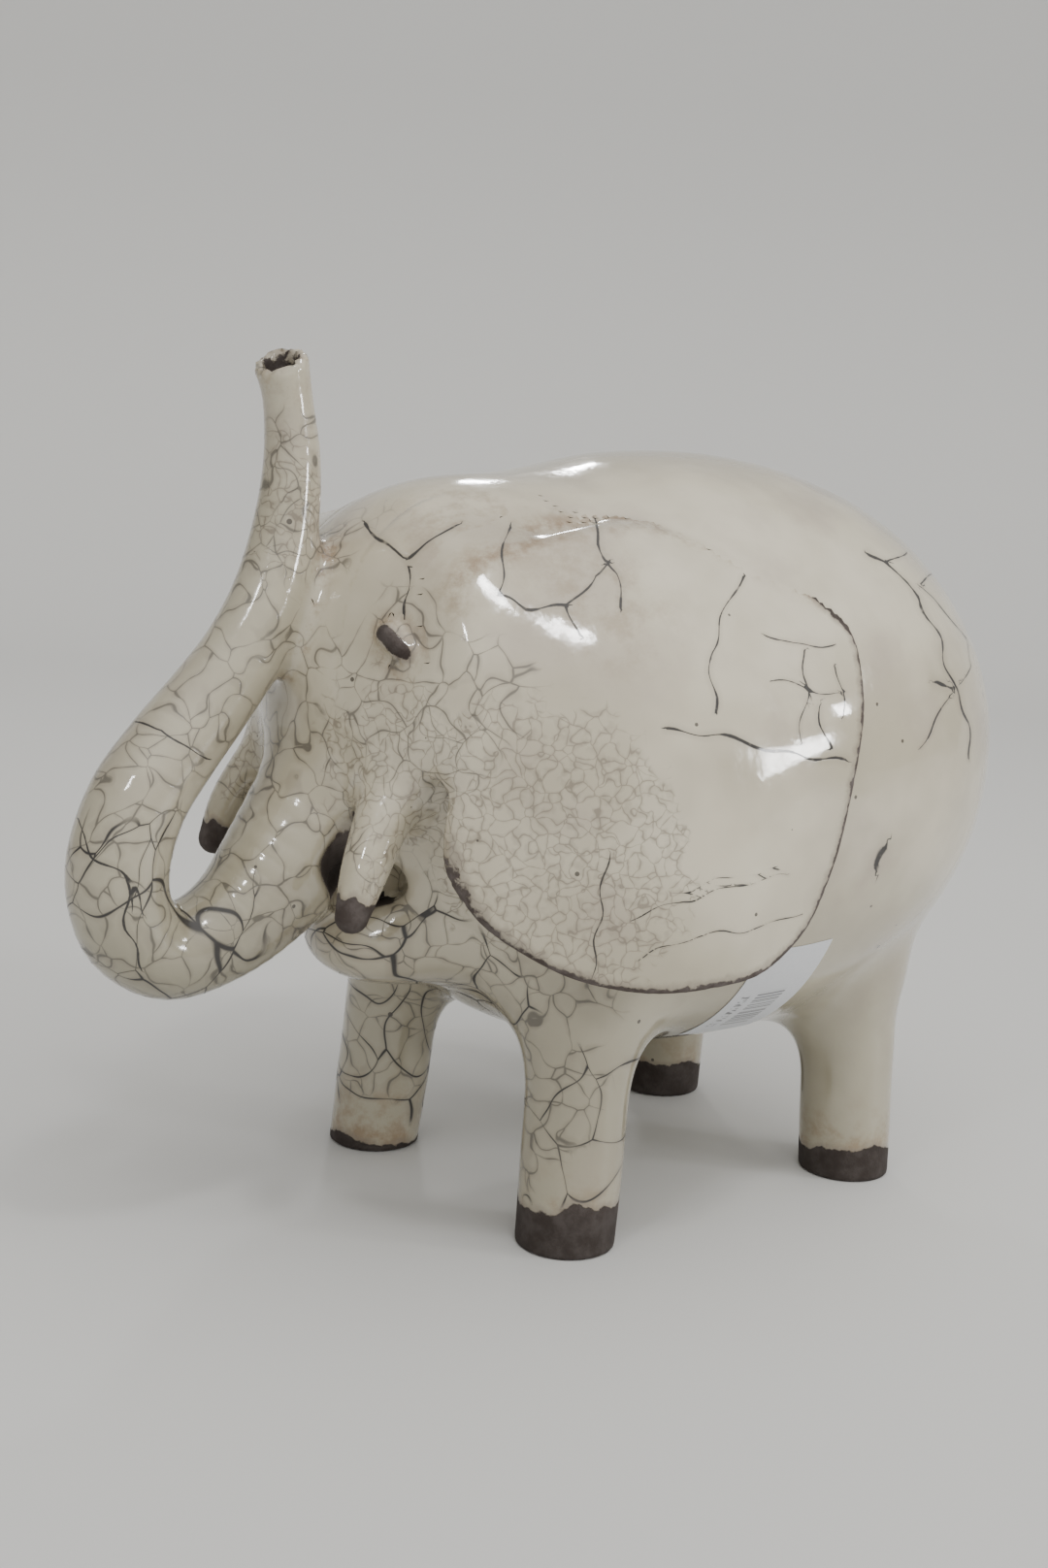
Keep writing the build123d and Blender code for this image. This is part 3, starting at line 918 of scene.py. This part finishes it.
# ---------------------------------------------------------------------------
# Legs: four short posts smoothed into the belly with wide fillets. The glaze was
# wiped off the feet, unevenly, so that they would not stick to the kiln shelf.
# ---------------------------------------------------------------------------
FOOT_RADIUS = 13.9
KNEE_RADIUS = 14.8
KNEE_HEIGHT = 58.0
LEG_FILLET = 22.0
SOLE_ROUND = 1.2
# The posts run on below the floor and are cut level there.
FOOT_DEPTH = 4.0
# Foot x from the body's middle and y, knee x and y from the foot, height of bare clay.
LEGS = {
    "front_left_leg": (60.5, 46, -4.5, -3.2, 12.5),
    "front_right_leg": (64, -47, -4.5, 3.2, 3.0),
    "rear_left_leg": (-51, 44, 1.0, -3.0, 9.5),
    "rear_right_leg": (-51, -44, 1.0, 3.0, 11.0),
}


def leg_form(points, name):
    foot_x, foot_y, lean_x, lean_y, _ = LEGS[name]
    foot = np.array([body_center[0] + foot_x, foot_y, -FOOT_DEPTH, FOOT_RADIUS])
    knee = np.array([foot[0] + lean_x, foot_y + lean_y, KNEE_HEIGHT, KNEE_RADIUS])
    line = np.array([foot, knee])
    return close_to(points, *box_of(line), 26.0, lambda near: coil(near, line))


def leg_bare(points, name):
    """Wiped to a ragged line, with one deep notch in front on the front left foot."""
    foot_x, foot_y, _, _, bare_height = LEGS[name]
    around = np.arctan2(points[:, 1] - foot_y, points[:, 0] - body_center[0] - foot_x)
    wave = 1.2 * np.sin(2 * around + foot_x) + 0.6 * np.sin(5 * around)
    notch = 4.0 * np.exp(-((around - math.radians(58)) / 0.30) ** 2) if name == "front_left_leg" else 0.0
    return bare_height + wave + notch - points[:, 2]


# Darkens the legs towards the floor.
def leg_low_darkening(points):
    return 0.8 * (1 - ease(points[:, 2], 6, 30))


for leg_name in LEGS:
    clay_pieces[leg_name] = {
        "form": lambda points, name=leg_name: leg_form(points, name),
        "bare": lambda points, name=leg_name: leg_bare(points, name),
        "stain_and_shade": leg_low_darkening,
        "material": glazed("glaze_" + leg_name),
    }

# ---------------------------------------------------------------------------
# Tail: a thin coil laid down the rump and pressed on, with a bare smoked tip
# that hangs just clear.
# ---------------------------------------------------------------------------
tail_low, tail_high = node_box("tail")
# Centre line from the lowest corner of the tail: (x, y, z, radius).
TAIL_LINE = [
    (23.9, 15.6, 99.6, 5.2),
    (12.4, 19.6, 83.6, 4.9),
    (6.9, 19.6, 67.6, 4.6),
    (4.4, 16.6, 50.6, 4.3),
    (5.4, 11.6, 32.6, 4.1),
    (8.9, 6.6, 16.6, 3.9),
    (12.9, 3.8, 3.9, 3.4),
]
TAIL_FILLET = 2.5
TAIL_BARE_LENGTH = 13.0
tail_line = curve_through([(*(tail_low + row[:3]), row[3]) for row in TAIL_LINE], 4)


def tail_form(points):
    return close_to(points, *box_of(tail_line), 10.0, lambda near: coil(near, tail_line))


def tail_bare(points):
    return tail_low[2] + TAIL_BARE_LENGTH - points[:, 2]


def tail_stain(points):
    return np.exp(-(body_form(points) / 1.6) ** 2) * 0.9


clay_pieces["tail"] = {
    "form": tail_form,
    "bare": tail_bare,
    "stain_and_shade": tail_stain,
    "material": glazed("glaze_tail"),
}

# ---------------------------------------------------------------------------
# Luting and glazing: every clay piece is scored, joined wet and smoothed into its
# neighbours, so all of them share one skin. The skin is meshed once on a grid and
# divided so that each piece is a closed mesh of its own that meets the next one.
# ---------------------------------------------------------------------------
GRID_STEP = 1.25
BLOCK = 4
MARGIN = 4.0
CHUNK = 300000
HAND_WAVE = 0.32
names = list(clay_pieces)


def hand_wave(points):
    """Small unevenness left by the fingers."""
    x, y, z = points.T
    slow = np.sin(x / 13 + 1.3) * np.sin(y / 15 + 0.5) * np.sin(z / 14)
    quick = np.sin(x / 6.1 + z / 9.0) * np.sin(y / 7.3 - z / 8.0 + 2.0)
    return HAND_WAVE * (slow + 0.35 * quick)


def skin(points):
    """Distance to the joined surface, and which piece each point belongs to."""
    parts = {name: piece["form"](points) for name, piece in clay_pieces.items()}
    labels = np.argmin(np.stack([parts[name] for name in names]), axis=0).astype(np.int8)
    front = ease(points[:, 0], ear_front[0], ear_front[1]) * ease(points[:, 2], ear_free[0], ear_free[1])
    throat = ease(points[:, 2], head_low[2], head_low[2] + 34)
    neck_fillet = THROAT_FILLET + (NECK_FILLET - THROAT_FILLET) * throat
    whole = join(parts["body_shell"], parts["head_shell"], neck_fillet)
    whole = join(whole, parts["lower_jaw"], JAW_FILLET)
    for name in LEGS:
        whole = join(whole, parts[name], LEG_FILLET)
    whole = join(whole, parts["trunk"], TRUNK_FILLET)
    whole = carve(whole, mouth_hollow(points), MOUTH_ROUND)
    ear_fillet = EAR_CREASE_FILLET + (EAR_FRONT_FILLET - EAR_CREASE_FILLET) * front
    for side_name in ("left", "right"):
        whole = join(whole, parts[side_name + "_tusk"], TUSK_FILLET)
        whole = join(whole, parts[side_name + "_ear"], ear_fillet)
        whole = join(whole, parts[side_name + "_eye"], EYE_FILLET)
    whole = join(whole, parts["tail"], TAIL_FILLET)
    whole = whole + HAND_WAVE + hand_wave(points)
    whole = carve(whole, trunk_bore(points), 1.2)
    return carve(whole, points[:, 2], SOLE_ROUND), labels


def skin_in_chunks(points):
    """skin() for many points with little memory."""
    results = [skin(points[start:start + CHUNK]) for start in range(0, len(points), CHUNK)]
    return np.concatenate([r[0] for r in results]), np.concatenate([r[1] for r in results])


def slope(points):
    """Gradient of the skin distance."""
    small = 0.35
    columns = []
    for axis in range(3):
        shift = np.zeros(3)
        shift[axis] = small
        ahead = skin_in_chunks(points + shift)[0]
        behind = skin_in_chunks(points - shift)[0]
        columns.append((ahead - behind) / (2 * small))
    return np.stack(columns, axis=1)


ear_box_low, ear_box_high = node_box("left_ear")
ear_front = (ear_box_high[0] - 42.0, ear_box_high[0] - 4.0)
ear_free = (ear_box_low[2] + 26.0, ear_box_low[2] + 62.0)
grid_low = np.array(cad_low) * MM - MARGIN
grid_high = np.array(cad_high) * MM + MARGIN
block_step = GRID_STEP * BLOCK
block_counts = np.ceil((grid_high - grid_low) / block_step).astype(int)
counts = block_counts * BLOCK


def neighbour_slices(axis):
    """Every layer but the last along an axis, and every layer but the first."""
    behind = [slice(None)] * 3
    ahead = [slice(None)] * 3
    behind[axis] = slice(None, -1)
    ahead[axis] = slice(1, None)
    return tuple(behind), tuple(ahead)


# A coarse pass finds the blocks that the surface or a joint runs through.
block_index = np.stack(np.meshgrid(*[np.arange(n) for n in block_counts], indexing="ij"), -1).reshape(-1, 3)
block_centers = grid_low + (block_index + 0.5 - 0.5 / BLOCK) * block_step
coarse, coarse_labels = skin_in_chunks(block_centers)
coarse_labels = np.where(coarse < 0, coarse_labels, -1).reshape(block_counts)
busy = (np.abs(coarse) < block_step * 0.87 + 3.0).reshape(block_counts)
for axis in range(3):
    behind, ahead = neighbour_slices(axis)
    changes = coarse_labels[ahead] != coarse_labels[behind]
    busy[ahead] |= changes
    busy[behind] |= changes

labels = coarse_labels.repeat(BLOCK, 0).repeat(BLOCK, 1).repeat(BLOCK, 2).astype(np.int8)
distances = coarse.reshape(block_counts).repeat(BLOCK, 0).repeat(BLOCK, 1).repeat(BLOCK, 2).astype(np.float32)
offsets = np.stack(np.meshgrid(*[np.arange(BLOCK)] * 3, indexing="ij"), -1).reshape(-1, 3)
busy_index = np.argwhere(busy)
fine_index = (busy_index[:, None, :] * BLOCK + offsets[None]).reshape(-1, 3)
fine, fine_labels = skin_in_chunks(grid_low + fine_index * GRID_STEP)
labels[tuple(fine_index.T)] = np.where(fine < 0, fine_labels, -1)
distances[tuple(fine_index.T)] = fine

# Where the label changes along a grid edge, the four cells round that edge share a face.
cell_strides = np.array([counts[1] * counts[2], counts[2], 1])
face_cells, face_owner, crossings, crossing_outside, crossing_cells = [], [], [], [], []
for axis in range(3):
    behind, ahead = neighbour_slices(axis)
    before, after = labels[behind], labels[ahead]
    place = np.argwhere(before != after)
    near_label, far_label = before[tuple(place.T)], after[tuple(place.T)]
    near_distance = distances[behind][tuple(place.T)]
    far_distance = distances[ahead][tuple(place.T)]
    outside = (near_label < 0) | (far_label < 0)
    share = np.where(outside, near_distance / np.where(outside, near_distance - far_distance, 1.0), 0.5)
    point = place.astype(float)
    point[:, axis] += np.clip(share, 0.02, 0.98)
    second, third = (axis + 1) % 3, (axis + 2) % 3
    corners = []
    for move_second, move_third in ((-1, -1), (0, -1), (0, 0), (-1, 0)):
        cell = place.copy()
        cell[:, second] += move_second
        cell[:, third] += move_third
        corners.append(cell @ cell_strides)
    quad = np.stack(corners, axis=1)
    for owner, ordered in ((near_label, quad), (far_label, quad[:, ::-1])):
        kept = owner >= 0
        face_cells.append(ordered[kept])
        face_owner.append(owner[kept])
    crossings.append(np.repeat(point, 4, axis=0))
    crossing_outside.append(np.repeat(outside, 4))
    crossing_cells.append(quad.reshape(-1))
face_cells = np.concatenate(face_cells)
face_owner = np.concatenate(face_owner)
crossings = np.concatenate(crossings)
crossing_outside = np.concatenate(crossing_outside)
used_cells, crossing_vertex = np.unique(np.concatenate(crossing_cells), return_inverse=True)

# Each used cell gets one vertex at the mean of its crossings, then moved onto the skin.
on_skin = np.bincount(crossing_vertex, crossing_outside, len(used_cells)) > 0
weight = np.where(on_skin[crossing_vertex], crossing_outside, 1.0)
total = np.bincount(crossing_vertex, weight, len(used_cells))
sums = [np.bincount(crossing_vertex, weight * crossings[:, axis], len(used_cells)) for axis in range(3)]
vertices = np.stack([column / total for column in sums], axis=1)
vertices = grid_low + vertices * GRID_STEP
skin_vertices = vertices[on_skin]
for settle in range(2):
    gap = skin_in_chunks(skin_vertices)[0]
    lean = slope(skin_vertices)
    step = gap[:, None] * lean / np.maximum((lean ** 2).sum(1, keepdims=True), 0.05)
    skin_vertices = skin_vertices - np.clip(step, -GRID_STEP, GRID_STEP)
vertices[on_skin] = skin_vertices
normals = np.zeros_like(vertices)
normals[:, 2] = 1.0
lean = slope(skin_vertices)
normals[on_skin] = lean / np.maximum(np.linalg.norm(lean, axis=1, keepdims=True), 1e-6)

face_vertices = np.searchsorted(used_cells, face_cells)
for piece_number, piece_name in enumerate(names):
    piece = clay_pieces[piece_name]
    own_faces = face_vertices[face_owner == piece_number]
    own_vertices, local_faces = np.unique(own_faces, return_inverse=True)
    local_faces = local_faces.reshape(-1, 4)
    places = vertices[own_vertices]
    mesh = bpy.data.meshes.new(piece_name + "_mesh")
    mesh.vertices.add(len(places))
    mesh.vertices.foreach_set("co", (places / MM).astype(np.float32).ravel())
    mesh.loops.add(local_faces.size)
    mesh.loops.foreach_set("vertex_index", local_faces.astype(np.int32).ravel())
    mesh.polygons.add(len(local_faces))
    mesh.polygons.foreach_set("loop_start", np.arange(0, local_faces.size, 4, dtype=np.int32))
    mesh.update(calc_edges=True)
    mesh.validate()
    mesh.polygons.foreach_set("use_smooth", np.ones(len(mesh.polygons), bool))
    mesh.normals_split_custom_set_from_vertices(normals[own_vertices].astype(np.float32))
    line_side, line_gap = crack_distances(places, normals[own_vertices], piece.get("cracks", ()), 1)
    if piece.get("cracked_on_right"):
        right_side, right_gap = crack_distances(places, normals[own_vertices], piece["cracks"], -1)
        line_side = np.where(places[:, 1] < 0, right_side, line_side)
        line_gap = np.where(places[:, 1] < 0, right_gap, line_gap)
    marks = {
        "bare": np.clip(piece["bare"](places), -30, 30),
        "stain_and_shade": np.maximum(piece["stain_and_shade"](places), 0),
        "line_side": line_side,
        "line_gap": line_gap,
    }
    for mark_name, values in marks.items():
        attribute = mesh.attributes.new(mark_name, "FLOAT", "POINT")
        attribute.data.foreach_set("value", values.astype(np.float32))
    mesh.materials.append(piece["material"])
    made = bpy.data.objects.new("clay_" + piece_name, mesh)
    bpy.context.scene.collection.objects.link(made)
    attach(made, "root")
    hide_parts(piece_name)

# ---------------------------------------------------------------------------
# Price label: a thin paper shop sticker pressed round the lower left flank. Its
# print is left out: only grey bars and dashes stand for it, and no words.
# ---------------------------------------------------------------------------
label_low, label_high = node_box("price_label")
LABEL_LENGTH = 49.0
LABEL_WIDTH = 24.4
LABEL_TURN = math.radians(95.0)
LABEL_DROP = math.radians(46.0)
LABEL_ROWS = 40
LABEL_COLUMNS = 20
LABEL_LIFT = 0.12
LABEL_SKIN = 0.16
label_normal = Vector((0, math.cos(LABEL_DROP), -math.sin(LABEL_DROP)))
label_across = Vector((1, 0, 0))
label_down = label_normal.cross(label_across)
label_long = label_across * math.cos(LABEL_TURN) + label_down * math.sin(LABEL_TURN)
label_wide = label_normal.cross(label_long)
label_middle = Vector(((label_low[0] + label_high[0]) / 2, 0.0, body_center[2])) + label_normal * body_half[2]


def label_sheet(lift):
    """Points of the sticker's grid, dropped onto the skin and lifted off it a little."""
    rows = np.linspace(-0.5, 0.5, LABEL_ROWS) * LABEL_LENGTH
    columns = np.linspace(-0.5, 0.5, LABEL_COLUMNS) * LABEL_WIDTH
    grid = np.array([label_middle + label_long * r + label_wide * c for r in rows for c in columns])
    toward = np.array(label_normal)
    for settle in range(8):
        grid = grid - np.outer(skin_in_chunks(grid)[0] - lift, toward)
    return grid


label_mesh = bpy.data.meshes.new("price_label_mesh")
label_top, label_back = label_sheet(LABEL_LIFT + LABEL_SKIN), label_sheet(LABEL_LIFT)
label_count = LABEL_ROWS * LABEL_COLUMNS
label_faces = []
for row in range(LABEL_ROWS - 1):
    for column in range(LABEL_COLUMNS - 1):
        first = row * LABEL_COLUMNS + column
        quad = (first, first + LABEL_COLUMNS, first + LABEL_COLUMNS + 1, first + 1)
        label_faces.append(quad)
        label_faces.append(tuple(label_count + corner for corner in reversed(quad)))
label_edge = list(range(LABEL_COLUMNS))
label_edge += [row * LABEL_COLUMNS + LABEL_COLUMNS - 1 for row in range(1, LABEL_ROWS)]
label_edge += [(LABEL_ROWS - 1) * LABEL_COLUMNS + column for column in reversed(range(LABEL_COLUMNS - 1))]
label_edge += [row * LABEL_COLUMNS for row in reversed(range(1, LABEL_ROWS - 1))]
for here, after in zip(label_edge, label_edge[1:] + label_edge[:1]):
    label_faces.append((here, after, label_count + after, label_count + here))
label_mesh.from_pydata((np.vstack([label_top, label_back]) / MM).tolist(), [], label_faces)
label_mesh.validate()
label_uv = label_mesh.uv_layers.new(name="paper")
for loop in label_mesh.loops:
    index = loop.vertex_index % label_count
    label_uv.data[loop.index].uv = (
        (index % LABEL_COLUMNS) / (LABEL_COLUMNS - 1),
        (index // LABEL_COLUMNS) / (LABEL_ROWS - 1),
    )
paper = bpy.data.materials.new("label_paper")
paper.use_nodes = True
paper_tree = paper.node_tree
paper_tree.nodes.clear()
paper_uv = put(paper_tree, "UVMap", uv_map="paper").outputs[0]
paper_split = put(paper_tree, "SeparateXYZ", {"Vector": paper_uv})
paper_across, paper_up = paper_split.outputs["X"], paper_split.outputs["Y"]


def between(tree, value, low, high, soft=0.006):
    """1 where a value lies between two limits."""
    above = ramp(tree, value, low - soft, low + soft)
    below = ramp(tree, value, high + soft, high - soft)
    return calc(tree, "MULTIPLY", above, below)


bar_rows = calc(paper_tree, "MULTIPLY", paper_up, 60.0)
bar_vector = put(paper_tree, "CombineXYZ", {"X": 0.0, "Y": bar_rows}).outputs[0]
bar_noise = put(paper_tree, "TexNoise", {"Vector": bar_vector, "Scale": 1.0, "Detail": 1.0}).outputs["Fac"]
bars = ramp(paper_tree, bar_noise, 0.49, 0.53)
bars = calc(paper_tree, "MULTIPLY", bars, between(paper_tree, paper_up, 0.38, 0.86))
bars = calc(paper_tree, "MULTIPLY", bars, between(paper_tree, paper_across, 0.34, 0.74))
dash_vector = put(
    paper_tree,
    "CombineXYZ",
    {"X": calc(paper_tree, "MULTIPLY", paper_across, 9.0), "Y": calc(paper_tree, "MULTIPLY", paper_up, 46.0)},
).outputs[0]
dash_noise = put(paper_tree, "TexNoise", {"Vector": dash_vector, "Scale": 1.0, "Detail": 2.0}).outputs["Fac"]
dashes = ramp(paper_tree, dash_noise, 0.50, 0.56)
dashes = calc(paper_tree, "MULTIPLY", dashes, between(paper_tree, paper_up, 0.40, 0.84))
dashes = calc(paper_tree, "MULTIPLY", dashes, between(paper_tree, paper_across, 0.13, 0.24))
print_mask = calc(paper_tree, "MULTIPLY", calc(paper_tree, "MAXIMUM", bars, dashes), 0.8)
paper_place = vector_calc(paper_tree, "MULTIPLY", put(paper_tree, "TexCoord").outputs["Object"], (MM, MM, MM))
paper_fiber = cloud(paper_tree, paper_place, 1.2, 4.0, 0.7)
paper_tone = blend(paper_tree, paper_fiber, (0.60, 0.62, 0.66), (0.74, 0.75, 0.77))
paper_bump = put(paper_tree, "Bump", {"Height": paper_fiber, "Strength": 0.15, "Distance": 0.1 / MM})
paper_shader = put(
    paper_tree,
    "BsdfPrincipled",
    {
        "Base Color": blend(paper_tree, print_mask, paper_tone, (0.09, 0.09, 0.10)),
        "Roughness": ramp(paper_tree, paper_fiber, 0.3, 0.7, 0.42, 0.55),
        "Normal": paper_bump.outputs[0],
    },
)
paper_tree.links.new(paper_shader.outputs[0], put(paper_tree, "OutputMaterial").inputs["Surface"])
label_mesh.materials.append(paper)
label_object = bpy.data.objects.new("paper_price_label", label_mesh)
bpy.context.scene.collection.objects.link(label_object)
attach(label_object, "root")
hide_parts("price_label")

# ---------------------------------------------------------------------------
# Stage: a plain pale floor that curves up into a backdrop, soft studio lamps and
# the camera, near the animal's left shoulder and a little above its back.
# ---------------------------------------------------------------------------
FLOOR_HALF_WIDTH = 3.0
FLOOR_NEAR = 2.0
FLOOR_FAR = 1.3
SWEEP_RADIUS = 0.7
SWEEP_HEIGHT = 2.6
CAMERA_FROM_FEET = Vector((0.3569, 0.4154, 0.205))
CAMERA_HEADING = math.radians(-127.16)
CAMERA_PITCH = math.radians(9.4)
CAMERA_ROLL = math.radians(3.2)
CAMERA_LENS = 42.3

heading = Vector((math.cos(CAMERA_HEADING), math.sin(CAMERA_HEADING), 0))
camera_place = CAMERA_FROM_FEET + Vector(feet_middle) / MM
profile = [(-FLOOR_NEAR, 0.0), (FLOOR_FAR, 0.0)]
for degrees in range(10, 91, 10):
    angle = math.radians(degrees)
    profile.append((FLOOR_FAR + SWEEP_RADIUS * math.sin(angle), SWEEP_RADIUS * (1 - math.cos(angle))))
profile.append((FLOOR_FAR + SWEEP_RADIUS, SWEEP_HEIGHT))
sideways = Vector((-heading.y, heading.x, 0))
floor_points = []
for along, up in profile:
    for side in (-FLOOR_HALF_WIDTH, FLOOR_HALF_WIDTH):
        floor_points.append(heading * along + sideways * side + Vector((0, 0, up)))
floor_faces = [(2 * i, 2 * i + 1, 2 * i + 3, 2 * i + 2) for i in range(len(profile) - 1)]
floor_mesh = bpy.data.meshes.new("floor_mesh")
floor_mesh.from_pydata(floor_points, [], floor_faces)
floor_mesh.polygons.foreach_set("use_smooth", [True] * len(floor_faces))
floor = bpy.data.objects.new("floor", floor_mesh)
bpy.context.scene.collection.objects.link(floor)
floor_material = bpy.data.materials.new("floor_paint")
floor_material.use_nodes = True
floor_shader = floor_material.node_tree.nodes["Principled BSDF"]
floor_shader.inputs["Base Color"].default_value = (0.62, 0.62, 0.61, 1.0)
floor_shader.inputs["Roughness"].default_value = 0.55
floor_mesh.materials.append(floor_material)


def lamp(name, place, target, size, power, color=(1.0, 1.0, 1.0)):
    """Square area lamp aimed at a point."""
    data = bpy.data.lights.new(name, "AREA")
    data.size = size
    data.energy = power
    data.color = color
    made = bpy.data.objects.new(name, data)
    made.location = place
    made.rotation_euler = (Vector(target) - Vector(place)).to_track_quat("-Z", "Y").to_euler()
    bpy.context.scene.collection.objects.link(made)


SPOTS = [
    ((-0.60, 0.65, 0.47), 0.11, 1.7),
    ((-0.50, 0.80, 0.25), 0.11, 1.5),
    ((-0.42, -0.63, 0.65), 0.06, 0.7),
    ((0.15, 0.45, 0.88), 0.09, 1.5),
    ((0.70, 0.35, 0.62), 0.06, 0.8),
]
for number, (direction, size, power) in enumerate(SPOTS):
    lamp(f"spot_{number}", tuple(1.1 * part for part in direction), (0, 0, 0.14), size, power)
world = bpy.data.worlds.new("studio")
world.use_nodes = True
sky = world.node_tree
sky_direction = put(sky, "TexCoord").outputs["Generated"]
sky_glow = 0.0
for direction, power, share in (((-0.15, 0.30, 0.94), 3.0, 1.3), ((0.45, 0.75, 0.48), 2.0, 0.75)):
    facing = vector_calc(sky, "DOT_PRODUCT", sky_direction, direction, output="Value")
    glow = calc(sky, "POWER", calc(sky, "MAXIMUM", facing, 0.0), power)
    sky_glow = calc(sky, "MULTIPLY_ADD", glow, share, sky_glow)
sky.nodes["Background"].inputs["Color"].default_value = (1.0, 0.985, 0.955, 1.0)
sky.links.new(calc(sky, "ADD", sky_glow, 0.30), sky.nodes["Background"].inputs["Strength"])
bpy.context.scene.world = world

camera_data = bpy.data.cameras.new("camera")
camera_data.lens = CAMERA_LENS
camera_data.sensor_width = 36.0
camera_data.clip_start = 0.02
camera = bpy.data.objects.new("camera", camera_data)
aim = heading * math.cos(CAMERA_PITCH) + Vector((0, 0, -math.sin(CAMERA_PITCH)))
right = aim.cross(Vector((0, 0, 1))).normalized()
up = right.cross(aim)
turned_right = right * math.cos(CAMERA_ROLL) + up * math.sin(CAMERA_ROLL)
turned_up = up * math.cos(CAMERA_ROLL) - right * math.sin(CAMERA_ROLL)
camera_turn = Matrix((turned_right, turned_up, -aim)).transposed().to_4x4()
camera.matrix_world = Matrix.Translation(camera_place) @ camera_turn
bpy.context.scene.collection.objects.link(camera)
bpy.context.scene.camera = camera
